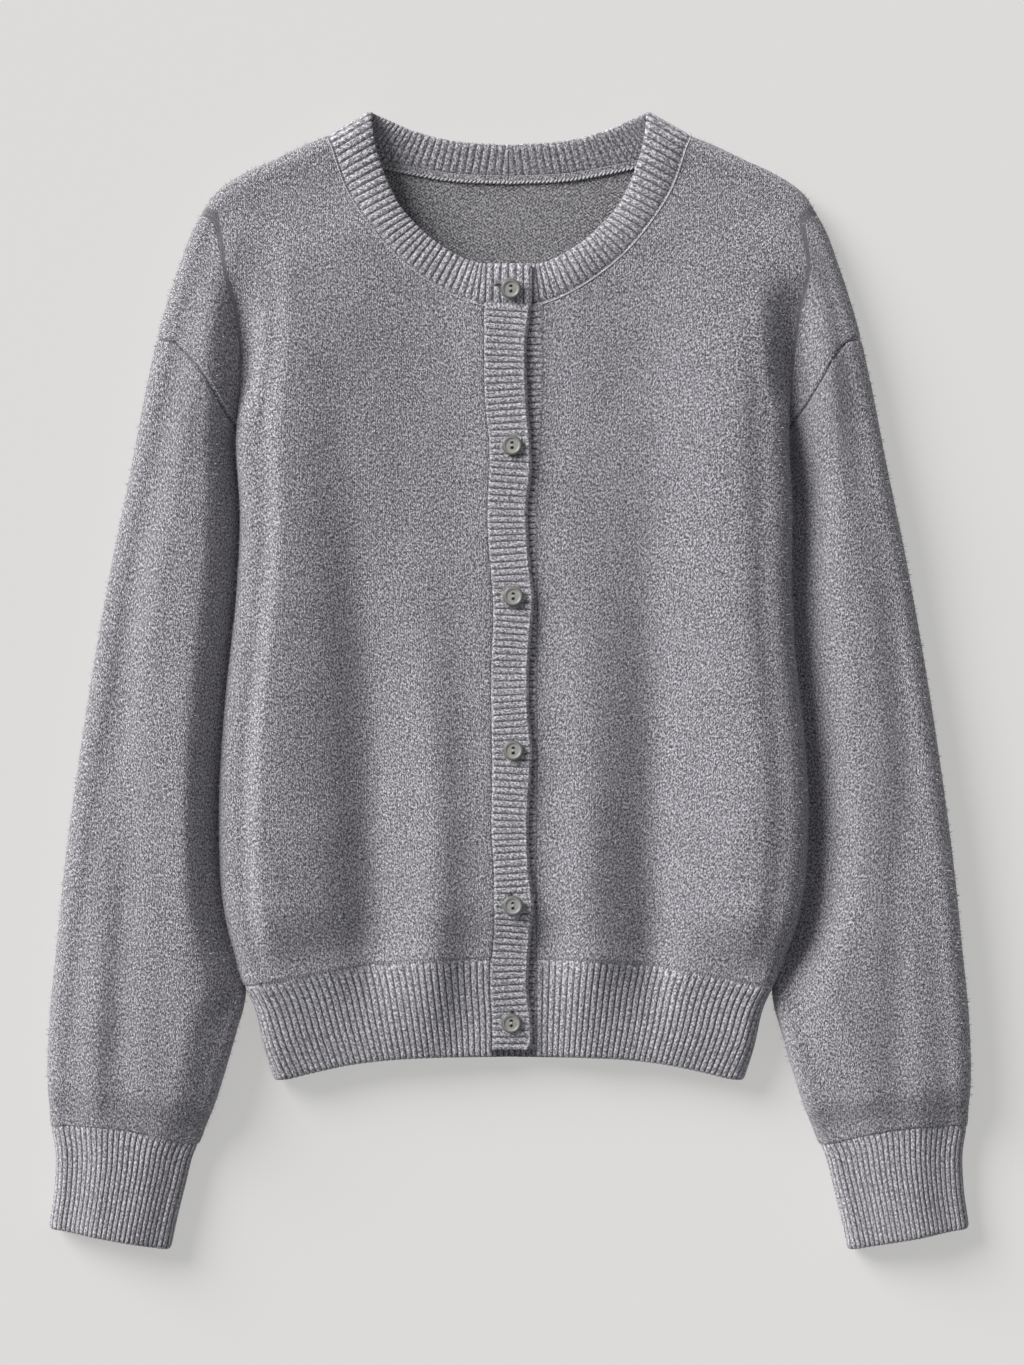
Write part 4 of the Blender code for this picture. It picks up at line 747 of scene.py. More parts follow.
def wall(name: str, cloth: Cloth, side: Side | None) -> Piece:
    """A closed wall between a cloth's outer and inner face, with round rims.

    Args:
        name: Name of the object.
        cloth: The cloth, its normals and inner face worked out.
        side: The half it lies on, or None where both halves are in the grid.
    """
    outer, inner, closed, chart = cloth.points, cloth.inner, cloth.closed, cloth.chart
    rows, cols = outer.shape[:2]
    first = grid_quads(rows, cols, closed)
    corners = np.stack([chart[:-1, :-1], chart[:-1, 1:], chart[1:, 1:], chart[1:, :-1]], -2)
    corners = corners.reshape(-1, 4, 2)
    under = rows * cols
    quads, charts = [first, first[:, ::-1] + under], [corners, corners[:, ::-1]]
    points = [outer.reshape(-1, 3), inner.reshape(-1, 3)]
    # painted shade marks of the outer and inner faces
    valley = np.broadcast_to(cloth.valley, (rows, cols))
    valleys = [valley.ravel(), np.broadcast_to(cloth.inner_valley, (rows, cols)).ravel()]
    away = np.zeros_like(outer)
    away[0] += outer[0] - outer[1]
    away[-1] += outer[-1] - outer[-2]
    if not closed:
        away[:, 0] += outer[:, 0] - outer[:, 1]
        away[:, -1] += outer[:, -1] - outer[:, -2]
    count = 2 * under
    over = np.array([1.1, 1.1])
    for loop in border(rows, cols, closed):
        row, col = np.array(loop).T
        at = (row, col)
        thick = np.linalg.norm(outer[at] - inner[at], axis=-1)[:, None]
        points.append((outer[at] + inner[at]) / 2 + unit(away[at]) * thick * 0.5)
        ids = row * cols + col
        turned = np.roll(ids, -1)
        mids = count + np.arange(len(ids))
        next_mids = np.roll(mids, -1)
        quads.append(np.stack([turned, ids, mids, next_mids], -1))
        quads.append(np.stack([next_mids, mids, ids + under, turned + under], -1))
        here = chart[at]
        ahead = np.roll(here, -1, axis=0)
        charts.append(np.stack([ahead, here, here + over, ahead + over], -2))
        charts.append(np.stack([ahead + over, here + over, here + 2 * over, ahead + 2 * over], -2))
        # the rims take part of their edge's painted shade
        valleys.append(valley[at] * 0.6)
        count += len(ids)
    points, quads, charts = (np.concatenate(lists) for lists in (points, quads, charts))
    flipped = (grid_normals(outer, closed) * cloth.face_normals()).sum() > 0
    if side is Side.RIGHT:
        points = points * MIRROR
        flipped = not flipped
    if flipped:
        quads, charts = quads[:, ::-1], charts[:, ::-1]
    return quad_mesh(name, points * MM, quads, charts * MM, np.concatenate(valleys))


# ---------- node trees

FLOAT, VECTOR = "NodeSocketFloat", "NodeSocketVector"
GEOMETRY, OBJECT, MATERIAL = "NodeSocketGeometry", "NodeSocketObject", "NodeSocketMaterial"
Node = bpy.types.Node
Socket = bpy.types.NodeSocket
Sockets = dict[str, Socket]


class Tree:
    """Short words for adding nodes to one tree."""

    def __init__(self, tree: NodeTree) -> None:
        """Keep the tree that nodes are added to."""
        self.tree = tree

    def link(self, source: object, target: Socket) -> None:
        """A value or a socket put into a socket."""
        if isinstance(source, Socket):
            self.tree.links.new(source, target)
        else:
            target.default_value = source

    def fill(self, node: Node, inputs: dict) -> Node:
        """Values or sockets put into a node's inputs, by name or number."""
        for key, source in inputs.items():
            self.link(source, node.inputs[key])
        return node

    def add(self, kind: str, inputs: dict | None = None, **settings: object) -> Node:
        """A node with its settings and inputs."""
        node = self.tree.nodes.new(kind)
        for key, value in settings.items():
            setattr(node, key, value)
        return self.fill(node, inputs or {})

    def math(self, operation: str, *values: object) -> Socket:
        """Result of a Math node."""
        return self.add("ShaderNodeMath", dict(enumerate(values)), operation=operation).outputs[0]

    plus = partialmethod(math, "ADD")
    minus = partialmethod(math, "SUBTRACT")
    times = partialmethod(math, "MULTIPLY")

    def vector_math(self, operation: str, *values: object) -> Socket:
        """Vector result of a Vector Math node."""
        inputs = dict(enumerate(values))
        return self.add("ShaderNodeVectorMath", inputs, operation=operation).outputs[0]

    def split(self, vector: Socket) -> Node:
        """A vector's three parts."""
        return self.add("ShaderNodeSeparateXYZ", {0: vector})

    def noise(self, place: Socket, scale: object, dimensions: str = "2D", **more: float) -> Node:
        """Soft noise over a place."""
        inputs = {"Vector": place, "Scale": scale, **more}
        return self.add("ShaderNodeTexNoise", inputs, noise_dimensions=dimensions)

    def blend(self, share: object, low: object, high: object) -> Socket:
        """Colour between two colours."""
        return self.add("ShaderNodeMix", {0: share, 6: low, 7: high}, data_type="RGBA").outputs[2]

    def map_range(self, value: object, low: float, high: float, to_low: float = 0.0,
                  to_high: float = 1.0) -> Socket:
        """A value moved from one range to another, held at its ends."""
        inputs = dict(enumerate((value, low, high, to_low, to_high)))
        return self.add("ShaderNodeMapRange", inputs).outputs[0]

    def stitch_place(self, take: Sockets) -> tuple[Socket, Socket]:
        """Place on the cloth counted in stitch columns and rows."""
        chart = self.split(take["Chart"])
        u = self.math("DIVIDE", chart.outputs[0], take["Wale"])
        return u, self.math("DIVIDE", chart.outputs[1], take["Course"])

    def turn(self, rotation: Socket, more: Socket) -> Socket:
        """A rotation turned further about its own axes."""
        inputs = {"Rotation": rotation, "Rotate By": more}
        node = self.add("FunctionNodeRotateRotation", inputs, rotation_space="LOCAL")
        return node.outputs[0]

    def scatter(self, points: Socket, thing: Socket, rotation: Socket, scale: Socket,
                finish: Socket) -> Socket:
        """An object on every point, made real and given its finish."""
        info = self.add("GeometryNodeObjectInfo", {"Object": thing})
        copies = self.add("GeometryNodeInstanceOnPoints", {
            "Points": points, "Instance": info.outputs["Geometry"], "Rotation": rotation,
            "Scale": scale,
        })
        real = self.add("GeometryNodeRealizeInstances", {0: copies.outputs[0]})
        paint = {"Geometry": real.outputs[0], "Material": finish}
        return self.add("GeometryNodeSetMaterial", paint).outputs[0]


@dataclass(frozen=True)
class Group:
    """A node group: inputs with type and value, outputs with type, and what adds its nodes."""

    name: str
    inputs: dict[str, tuple[str, object]]
    outputs: dict[str, str]
    build: Callable[[Tree, Sockets], Sockets]
    kind: str = "ShaderNodeTree"

    def tree(self) -> NodeTree:
        """The group, built once."""
        if self.name in bpy.data.node_groups:
            return bpy.data.node_groups[self.name]
        group = bpy.data.node_groups.new(self.name, self.kind)
        for word, (socket, value) in self.inputs.items():
            item = group.interface.new_socket(word, in_out="INPUT", socket_type=socket)
            if value is not None:
                item.default_value = value
        for word, socket in self.outputs.items():
            group.interface.new_socket(word, in_out="OUTPUT", socket_type=socket)
        tree = Tree(group)
        enter, leave = tree.add("NodeGroupInput"), tree.add("NodeGroupOutput")
        tree.fill(leave, self.build(tree, enter.outputs))
        return group


def stitch_nodes(tree: Tree, take: Sockets) -> Sockets:
    """Plain knit: columns of small V stitches."""
    u, v = tree.stitch_place(take)
    x = tree.math("ABSOLUTE", tree.minus(tree.math("FRACT", u), 0.5))
    lean = tree.times(tree.minus(x, 0.25), 4.0)
    leg = tree.minus(1.0, tree.math("POWER", tree.math("ABSOLUTE", lean), 2.2))
    t = tree.math("FRACT", tree.minus(v, tree.times(x, take["Slant"])))
    dip = tree.math("ABSOLUTE", tree.minus(tree.times(t, 2.0), 1.0))
    dip = tree.minus(1.0, tree.math("POWER", dip, 3.0))
    return {"Height": tree.times(leg, tree.plus(0.45, tree.times(dip, 0.55)))}


def purl_nodes(tree: Tree, take: Sockets) -> Sockets:
    """Back of plain knit: rows of small arched loops."""
    u, v = tree.stitch_place(take)
    swing = tree.times(tree.math("COSINE", tree.times(u, math.tau)), 0.33)
    row = tree.math("SINE", tree.times(tree.plus(v, swing), math.tau))
    return {"Height": tree.map_range(row, -1.0, 1.0)}


def heather_nodes(tree: Tree, take: Sockets) -> Sockets:
    """Mixed pale and dark fibres that lie at both slants of the stitches."""
    streaks = []
    for turn, shift in ((0.5, 0.0), (-0.5, 3.7), (1.35, 8.1)):
        place = tree.add("ShaderNodeMapping", {
            0: take["Chart"], "Rotation": (0.0, 0.0, turn), "Location": (shift, shift / 3.0, 0.0),
        })
        long = tree.vector_math("MULTIPLY", place.outputs[0], (1.0, 0.42, 1.0))
        streaks.append(tree.noise(long, take["Fineness"], Detail=1.5, Roughness=0.6).outputs[0])
    most = tree.math("MAXIMUM", streaks[0], streaks[1])
    least = tree.math("MINIMUM", streaks[0], streaks[2])
    cloud = tree.noise(take["Chart"], 55.0, Detail=3.0).outputs[0]
    return {
        "Pale": tree.map_range(most, 0.55, 0.65), "Dark": tree.map_range(least, 0.46, 0.34),
        "Cloud": tree.map_range(cloud, 0.3, 0.7),
    }


STITCH_SIZE = {"Chart": (VECTOR, None), "Wale": (FLOAT, 0.0023), "Course": (FLOAT, 0.0018)}
STITCHES = Group(
    "knit stitches", {**STITCH_SIZE, "Slant": (FLOAT, 1.5)}, {"Height": FLOAT}, stitch_nodes
)
PURLS = Group("purl loops", STITCH_SIZE, {"Height": FLOAT}, purl_nodes)
YARN = Group(
    "heather yarn", {"Chart": (VECTOR, None), "Fineness": (FLOAT, 950.0)},
    {"Pale": FLOAT, "Dark": FLOAT, "Cloud": FLOAT}, heather_nodes,
)


# ---------- finishes


def opaque(colour: Colour, factor: float = 1.0, most: float = 1.0) -> tuple[float, ...]:
    """A colour by a factor, held under a most, with full alpha."""
    return (*(min(part * factor, most) for part in colour), 1.0)


@dataclass(frozen=True)
class Finish:
    """What the faces of a piece look like."""

    name: str
    colour: Colour

    def inputs(self, tree: Tree) -> dict[str, object]:
        """The shader's inputs as values or sockets."""
        raise NotImplementedError

    def material(self) -> bpy.types.Material:
        """The finish as a material, built once."""
        if self.name in bpy.data.materials:
            return bpy.data.materials[self.name]
        material = bpy.data.materials.new(self.name)
        material.use_nodes = True
        tree = Tree(material.node_tree)
        tree.fill(material.node_tree.nodes["Principled BSDF"], self.inputs(tree))
        return material


class Face(Enum):
    """Side of the knit that a finish shows."""

    KNIT = "knit"
    PURL = "purl"


@dataclass(frozen=True)
class KnitFinish(Finish):
    """Brushed heather knit: stitch size in millimetres, colours, strength of the painted shade
    between stitches and in valleys, and depth of its relief.
    """

    wale: float = 2.3
    course: float = 1.9
    face: Face = Face.KNIT
    pale: float = 0.9
    dark: float = 0.85
    # stitch_shade and valley_shade: strength of the painted shade in the gaps between stitches and
    # where the valley mark lies
    stitch_shade: float = 0.34
    valley_shade: float = 0.0
    relief: float = 0.7
    fineness: float = 1300.0

    def inputs(self, tree: Tree) -> dict[str, object]:
        """Stitches, the yarn's mixed colours, and painted shade between the stitches, in the rib
        valleys and along seams.
        """
        chart = tree.add("ShaderNodeUVMap", uv_map="cloth").outputs[0]
        wobble = tree.noise(chart, 130.0)
        shift = tree.vector_math("SUBTRACT", wobble.outputs[1], (0.5, 0.5, 0.5))
        shift = tree.vector_math("MULTIPLY", shift, (0.0016, 0.0016, 0.0))
        stitches = tree.add("ShaderNodeGroup", {
            "Chart": tree.vector_math("ADD", chart, shift), "Wale": self.wale * MM,
            "Course": self.course * MM,
        }, node_tree=(STITCHES if self.face is Face.KNIT else PURLS).tree())
        inputs = {"Chart": chart, "Fineness": self.fineness}
        yarn = tree.add("ShaderNodeGroup", inputs, node_tree=YARN.tree())
        stitch, pale, dark, cloud = stitches.outputs["Height"], *(
            yarn.outputs[word] for word in ("Pale", "Dark", "Cloud")
        )
        # the valley mark says where painted shade falls: rib valleys, seams and buttonholes
        valley = tree.add("ShaderNodeAttribute", attribute_name="valley").outputs["Fac"]
        light, deep = opaque(self.colour, 2.8, 0.9), opaque(self.colour, 0.18)
        colour = tree.blend(
            tree.map_range(cloud, 0.0, 1.0, 0.0, 0.14), opaque(self.colour), light
        )
        # dark and pale fibres are the yarn's own colour; the stitch gaps and the valley mark are
        # darkened as painted shade
        for mask, depth, toward in (
            (dark, self.dark, deep), (tree.minus(1.0, stitch), self.stitch_shade, deep),
            (pale, self.pale, light), (valley, self.valley_shade, deep),
        ):
            colour = tree.blend(tree.times(mask, depth), colour, toward)
        height = tree.plus(tree.times(stitch, 0.6), tree.times(pale, 0.55))
        height = tree.minus(height, tree.times(dark, 0.5))
        bump = tree.add("ShaderNodeBump", {
            "Strength": 0.8, "Distance": self.relief * MM, "Height": height,
        })
        return {
            "Base Color": colour, "Normal": bump.outputs[0], "Roughness": 0.92,
            "Specular IOR Level": 0.25, "Sheen Weight": 0.22, "Sheen Roughness": 0.55,
        }


@dataclass(frozen=True)
class PlainFinish(Finish):
    """One even colour, for fibres, thread, the floor and the painted shade of a buttonhole."""

    roughness: float = 0.8
    sheen: float = 0.2
    specular: float = 0.2
    glow: float = 0.0

    def inputs(self, tree: Tree) -> dict[str, object]:
        """The colour, its roughness and sheen, and a glow where there is one."""
        inputs = {
            "Base Color": opaque(self.colour), "Roughness": self.roughness,
            "Specular IOR Level": self.specular, "Sheen Weight": self.sheen,
        }
        if self.glow:
            inputs.update({"Emission Color": opaque(self.colour), "Emission Strength": self.glow})
        return inputs


@dataclass(frozen=True)
class ButtonFinish(Finish):
    """Satin grey resin, with painted shade: darker round the rim and in the thread holes."""

    name: str = "satin_resin"
    colour: Colour = (0.36, 0.365, 0.345)
    # colour of the painted shade on the rounded rim and in the holes
    rim: Colour = (0.13, 0.135, 0.125)

    def inputs(self, tree: Tree) -> dict[str, object]:
        """A cloudy face, painted shade on the rim and in the holes, and uneven roughness."""
        place = tree.add("ShaderNodeTexCoord").outputs["Object"]
        cloud = tree.noise(place, 420.0, "3D", Detail=4.0).outputs[0]
        outer = tree.add("ShaderNodeAttribute", attribute_name="outer").outputs["Fac"]
        rim = opaque(self.rim)
        face = tree.blend(
            tree.map_range(cloud, 0.35, 0.65, 0.0, 0.25), opaque(self.colour), rim
        )
        # the outer mark blends in the painted shade of the rim and the holes
        return {
            "Base Color": tree.blend(outer, face, rim),
            "Roughness": tree.map_range(cloud, 0.3, 0.7, 0.26, 0.40),
            "Specular IOR Level": 0.6, "Coat Weight": 0.15, "Coat Roughness": 0.2,
        }


# valley_shade and stitch_shade below set how strongly each knit is darkened by painted shade
PLAIN = KnitFinish("plain_knit_face", (0.262, 0.252, 0.276), valley_shade=0.8)
INSIDE = KnitFinish("plain_knit_back", (0.34, 0.322, 0.365), wale=3.4, course=1.9,
                    face=Face.PURL, stitch_shade=1.0, pale=0.65, dark=0.6, relief=1.3)
RIB = KnitFinish("rib_knit_face", (0.305, 0.295, 0.32), wale=RIB_WIDTH / 2, course=1.7,
                 stitch_shade=0.22, valley_shade=0.97, pale=0.8, dark=0.7, relief=0.22)
TAPE = KnitFinish("tape_knit", (0.265, 0.256, 0.28), wale=1.9, course=1.6, stitch_shade=0.25)
FUZZ = PlainFinish("loose_fibre", (0.52, 0.51, 0.54))
THREAD = PlainFinish("sewing_thread", (0.55, 0.54, 0.55), roughness=0.6)
# a dark tube of painted shade for the end of the buttonhole beside button 1
BUTTONHOLE_SHADE = PlainFinish("buttonhole_thread", (0.05, 0.048, 0.052), sheen=0.0)
JOIN_YARN = PlainFinish("joining_yarn", (0.285, 0.275, 0.30), roughness=0.9)
SEAM_YARN = PlainFinish("linking_yarn", (0.46, 0.45, 0.48), roughness=0.85)


def dress(piece: Piece, finish: Finish, slot: str, *nodes: str) -> Piece:
    """Give a piece its finish and its place in the frame.

    Args:
        piece: The piece, its mesh final.
        finish: The finish of all its faces.
        slot: The record's material slot; not used.
        nodes: CAD nodes that it stands for.
    """
    if not piece.data.materials:
        piece.data.materials.append(finish.material())
    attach(piece, BODY)
    if nodes:
        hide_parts(*nodes)
    log.info("%s: %d faces", piece.name, len(piece.data.polygons))
    return piece


# ---------- panels


@dataclass
class Panel:
    """A piece of knitted cloth of one side, in millimetres."""

    form: Form
    side: Side
    thickness: float = 2.0
    area: float = field(default=0.0, init=False)

    def finish_wall(self, cloth: Cloth, name: str, sink: Array | float, relief: Array | float,
                    flip: bool = False) -> Piece:
        """Offset the outer face by its relief, give it an inner face and make the wall."""
        normals = cloth.face_normals(flip)
        base = cloth.points
        cloth.inner = base - normals * self.thickness
        cloth.points = base + normals * (relief - sink)[..., None]
        self.area = cloth.area()
        return wall(f"{name}_{self.side.word}", cloth, self.side)


@dataclass
class FrontPanel(Panel):
    """A front with its dropped shoulder, from the hem band to under the shoulder fold."""

    inner_cells: int = 58
    roll_cells: int = 10
    cap_cells: int = 13
    lower_rows: int = 92
    band_rows: int = 17
    neck_rows: int = 54
    wrap_count: int = 14
    blouse: float = 0.8

    def lower_places(self, share: float) -> Array:
        """Places across one row; share runs from the hem seam to the underarm."""
        form, side = self.form, self.side
        outer_up = mix(form.hem_side_up, UNDERARM, share)
        inner_up = mix(form.hem_seam(form.hem_seam_in), form.band_row_up, share)
        start = form.roll_start(outer_up)
        quarter = math.pi / 2 * form.roll_radius(outer_up, side)
        inner_x = form.seam_across(inner_up, side)
        narrowed = ease(5 * share - 4)
        reach = mix(quarter + form.wrap_flat, form.underarm_reach, narrowed)
        x = mix(inner_x, start, shares_of(self.inner_cells))
        roll = start + quarter * np.arange(1, self.roll_cells + 1) / self.roll_cells
        return np.concatenate([x, roll, start + quarter + reach * steps(self.cap_cells)])

    def lower_plan(self) -> tuple[Array, Array]:
        """Unrolled places across and up below the underarm, rows going up."""
        form = self.form
        shares = [i / self.lower_rows for i in range(self.lower_rows + 1)]
        u = np.array([self.lower_places(share) for share in shares])
        low = form.lower_edge(u[0], form.hem_seam, form.hem_side_up)
        top = np.full(u.shape[1], UNDERARM)
        inner = self.inner_cells + 1
        top[:inner] = np.linspace(form.band_row_up, UNDERARM, inner)
        return u, mix(low, top, np.array(shares)[:, None])

    def neck_plan(self) -> Array:
        """Plan points of the neck seam from the band to the start of the shoulder roll."""
        dense = trace(NECK_FRONT, 600)
        corner = self.form.seam_across(self.form.band_top_up, self.side)
        return stations(self.form.inside_outline(dense[dense[:, 0] >= corner]), self.neck_rows + 1)

    def armhole_plan(self) -> Array:
        """Plan points of the armhole seam, one for each row above the underarm."""
        dense = self.form.inside_outline(trace(ARMHOLE, 500))
        return stations(dense, self.band_rows + self.neck_rows + 1)

    def upper_plan(self) -> Array:
        """Plan points above the underarm: rows going up, columns going out."""
        form = self.form
        neck = self.neck_plan()
        up = np.linspace(form.band_row_up, neck[0, 1], self.band_rows + 1)[1:]
        inner = np.concatenate([np.stack([form.seam_across(up, self.side), up], -1), neck[1:]])
        fold_up = np.linspace(UNDERARM, SIDE[0][0], 500)
        line = form.inside_outline(np.stack([form.side_across(fold_up), fold_up], -1))
        fold = stations(line, len(inner) + 1)[1:]
        start = fold.copy()
        start[:, 0] -= form.side_reach(fold[:, 1])
        spans = (
            (inner, start, shares_of(self.inner_cells)),
            (start, fold, steps(self.roll_cells)),
            (fold, self.armhole_plan()[1:], steps(self.cap_cells)),
        )
        grid = np.concatenate(
            [mix(near[:, None], far[:, None], shares[:, None]) for near, far, shares in spans],
            axis=1,
        )
        last = grid[-1]
        _, foot, inward, reach = form.rim(last[:, 0], last[:, 1])
        bow = foot + inward * reach[:, None] - last
        return grid + bow[None] * steps(len(inner))[:, None, None] ** 3

    def wrap_plan(self, last: Array) -> Array:
        """Rows that carry the last row on, round the shoulder and under."""
        _, _, inward, reach = self.form.rim(last[:, 0], last[:, 1])
        top = self.form.top(last[:, 0], last[:, 1], self.side)
        half_turn = math.pi * (reach + top / 2) / 2
        runs = [half_turn * k / self.wrap_count for k in range(1, self.wrap_count + 1)]
        runs.append(half_turn + self.form.wrap_flat)
        return np.array([last - inward * run[:, None] for run in runs])

    def upper_points(self, plan: Array) -> Array:
        """Outer face above the underarm from its plan points."""
        form = self.form
        points = form.wrapped(plan[..., 0], plan[..., 1], self.side)
        roll = slice(self.inner_cells, self.inner_cells + self.roll_cells + 1)
        y = plan[:, roll, 1]
        turn = np.arange(self.roll_cells + 1) / self.roll_cells * math.pi / 2
        places = form.roll_start(y) + turn * form.roll_radius(y, self.side)
        share = ease((UNDERARM + 34 - y) / 34)[..., None]
        points[:, roll] = mix(points[:, roll], form.rolled(places, y, self.side), share)
        return points

    def cap_chart(self, plan: Array, points: Array) -> Array:
        """Cloth coordinates above the underarm: past the fold they follow the armhole."""
        chart = plan.copy()
        past = self.inner_cells + self.roll_cells + 1
        rows = points[self.lower_rows + 1 :]
        out = np.linalg.norm(np.diff(rows, axis=1), axis=-1)
        from_seam = np.cumsum(out[:, ::-1], axis=1)[:, ::-1]
        from_seam = np.hstack([from_seam, np.zeros((len(rows), 1))])
        chart[:, past:, 0] = from_seam[:, past:]
        chart[:, past:, 1] = lengths(rows[:, -1])[:, None]
        return chart

    def build(self) -> Piece:
        """The panel's wall."""
        form = self.form
        u, y = self.lower_plan()
        upper = self.upper_plan()
        plan = np.concatenate([upper, self.wrap_plan(upper[-1])])
        points = np.concatenate([form.rolled(u, y, self.side), self.upper_points(plan)])
        points = form.settle(points, self.side)
        chart = np.concatenate([np.stack([u, y], -1), self.cap_chart(plan, points)])
        neck = self.lower_rows + self.band_rows
        self.seam_points = points[neck:, 0].copy()
        self.seam_ways = grid_normals(points)[neck:, 0].copy()
        self.shoulder = points[-1, :, :2].copy()
        self.arm_line = points[self.lower_rows :, -1].copy()
        cloth = Cloth.finer(points, chart)
        sink = cloth.sink_edges(first=(0.1, 2.2), near=(0.4, 1.6), far=(0.9, 2.4), last=(0.3, 2.0))
        runs = cloth.edge_runs()
        blouse = self.blouse * ease((runs["first"] + 0.8) / 2)
        blouse = blouse * (1 - ease(runs["first"] / 14)) * (cloth.points[..., 2] > 0.4)
        # painted shade: a thin dark line along the armhole seam, and a fainter one along the neck
        # and band seam
        cloth.valley = np.maximum(
            1.0 - ease(runs["far"] / 1.3), 0.7 - 0.7 * ease(runs["near"] / 0.9)
        )
        return self.finish_wall(cloth, "front_cloth", sink, blouse)


@dataclass
class HemBand(Panel):
    """A front hem band: ribs run down it and fade where it turns under."""

    ribs: int = 44
    cells_a_rib: int = 8
    rows: int = 19
    rise: float = 0.9

    def row(self, share: float) -> tuple[Array, Array]:
        """Unrolled places across and up of one row; share runs down from the seam."""
        form, side = self.form, self.side
        side_up = mix(form.hem_side_up, form.hem_foot_up, share)
        radius = form.roll_radius(side_up, side)
        seam, edge = form.hem_seam(form.hem_seam_in), form.hem_edge(form.hem_seam_in)
        inner_x = form.seam_across(mix(seam, edge, share), side)
        run = form.roll_start(side_up) - inner_x + math.pi * radius + form.wrap_flat
        u = inner_x + np.linspace(0.0, run, self.ribs * self.cells_a_rib + 1)
        low, high = (form.lower_edge(u, line, side_up) for line in (form.hem_edge, form.hem_seam))
        return u, mix(high, low, share)

    def build(self) -> Piece:
        """The band's wall."""
        rows = [self.row(share) for share in shares_of(self.rows)]
        u, y = (np.array(part) for part in zip(*rows))
        phase = np.arange(u.shape[1]) / self.cells_a_rib + 0 * u
        chart = np.stack([phase * RIB_WIDTH, y], -1)
        cloth = Cloth.finer(self.form.rolled(u, y, self.side), chart, across=False)
        phase = np.broadcast_to(phase[:1], cloth.points.shape[:2])
        relief, fade = cloth.ribs(phase, self.rise)
        sink = cloth.sink_edges(first=(0.05, 1.6), near=(0.5, 1.6), last=(0.55, 1.8))
        # painted shade in the valleys between ribs, starting an uneven few millimetres below the
        # seam
        uneven = 1.6 + 1.2 * np.sin(phase * 2.3) + 0.8 * np.sin(phase * 0.9 + 1)
        below = ease((cloth.edge_runs()["first"] - uneven) / 3)
        cloth.valley = rib_valley(phase) * fade * below
        return self.finish_wall(cloth, "hem_ribs", sink, relief, flip=True)


@dataclass
class ArmPanel(Panel):
    """Rings round an arm: over the top, round the outer edge, under and back."""

    top: int = 52
    wrap: int = 16
    bottom: int = 8
    tuck: int = 10

    def ring(self, inner_up: float, outer_up: float, shift: Array | float) -> Array:
        """Points round one ring; a shift moves its top towards the armhole."""
        form = self.form
        start = np.array([form.arm_start(inner_up), inner_up])
        first = form.outer_base(outer_up)
        shares = shares_of(self.top)
        near = ease(1 - abs(inner_up - form.cuff_seam[1][1]) / form.cuff_bow_fade)
        plan = mix(start, first, shares[:, None])
        plan[:, 1] += form.cuff_bow * near * np.sin(math.pi * shares)
        plan = plan + shift
        base = first if np.isscalar(shift) else plan[-1]
        _, _, inward, reach = form.rim(base[0], base[1])
        height = form.arm_top(plan[:, 0], plan[:, 1], self.side)
        turn = np.arange(1, self.wrap + 1) / self.wrap * math.pi
        outer = np.column_stack(
            [base - inward * (reach * np.sin(turn))[:, None],
             height[-1] / 2 * (1 + np.cos(turn))]
        )
        back = along(plan, lengths(plan)[-1] * (1 - steps(self.bottom)))
        share = form.cuff_share(*start)
        tuck_reach = mix(form.cuff_low / 2, form.arm_reach(inner_up), share)
        turn = np.arange(1, self.tuck) / self.tuck * math.pi
        inner = np.column_stack(
            [plan[0] - unit(base - start) * (tuck_reach * np.sin(turn))[:, None],
             height[0] / 2 * (1 - np.cos(turn))]
        )
        under = np.column_stack([back, np.zeros(self.bottom)])
        return np.concatenate([np.column_stack([plan, height]), outer, under, inner])

    def rings(self, table: tuple, count: int, seam: Array | None = None) -> Array:
        """Rings at even steps through a table of rings, the first on a seam."""
        numbers = np.arange(len(table))
        inner, outer = zip(*table)
        shift = 0.0
        if seam is not None:
            start = np.array([self.form.arm_start(inner[0]), inner[0]])
            shares = shares_of(self.top)[:, None]
            shift = seam - mix(start, self.form.outer_base(outer[0]), shares)
        grid = []
        for at in np.linspace(0.0, numbers[-1], count + 1):
            ups = (float(hermite(numbers, ends, at)) for ends in (inner, outer))
            grid.append(self.ring(*ups, shift * (1 - at) if at < 1.0 else 0.0))
        return np.array(grid)

    def cloth(self, points: Array, chart: Array) -> Cloth:
        """Closed cloth with outward normals, straight down where it rests."""
        cloth = Cloth.finer(points, chart, across=False, closed=True)
        cloth.normals = -grid_normals(cloth.points, closed=True)
        cloth.normals[cloth.points[..., 2] < 0.01] = -UP
        return cloth


@dataclass
class SleevePanel(ArmPanel):
    """A sleeve from the armhole to the cuff, flat where it rests."""

    rows: int = 144
    armhole: Array | None = None

    def build(self) -> Piece:
        """The sleeve's wall, its first ring on the armhole seam."""
        base = self.rings(SLEEVE_RINGS, self.rows, stations(self.armhole, self.top + 1))
        base = self.form.settle(base, self.side)
        cloth = self.cloth(base, self.round_chart(base))
        first, last = (cloth.edge_runs()[edge] for edge in ("first", "last"))
        above = cloth.points[..., 2] > 0.4
        sink = cloth.sink_edges(first=(1.0, 2.6), last=(0.2, 2.2)) * above
        blouse = 0.8 * ease((last + 0.8) / 2) * (1 - ease(last / 14))
        # painted shade: a thin dark line along the armhole seam
        cloth.valley = 1.0 - ease(first / 1.3)
        return self.finish_wall(cloth, "sleeve_cloth", sink, blouse * above)

    def round_chart(self, points: Array) -> Array:
        """Cloth coordinates: round from the crest, and down the sleeve."""
        run = lengths(np.hstack([points, points[:, :1]]), 1)
        crest = self.top // 2
        down = lengths(points[:, crest])[:, None]
        return np.stack([run - run[:, crest][:, None], -np.broadcast_to(down, run.shape)], -1)


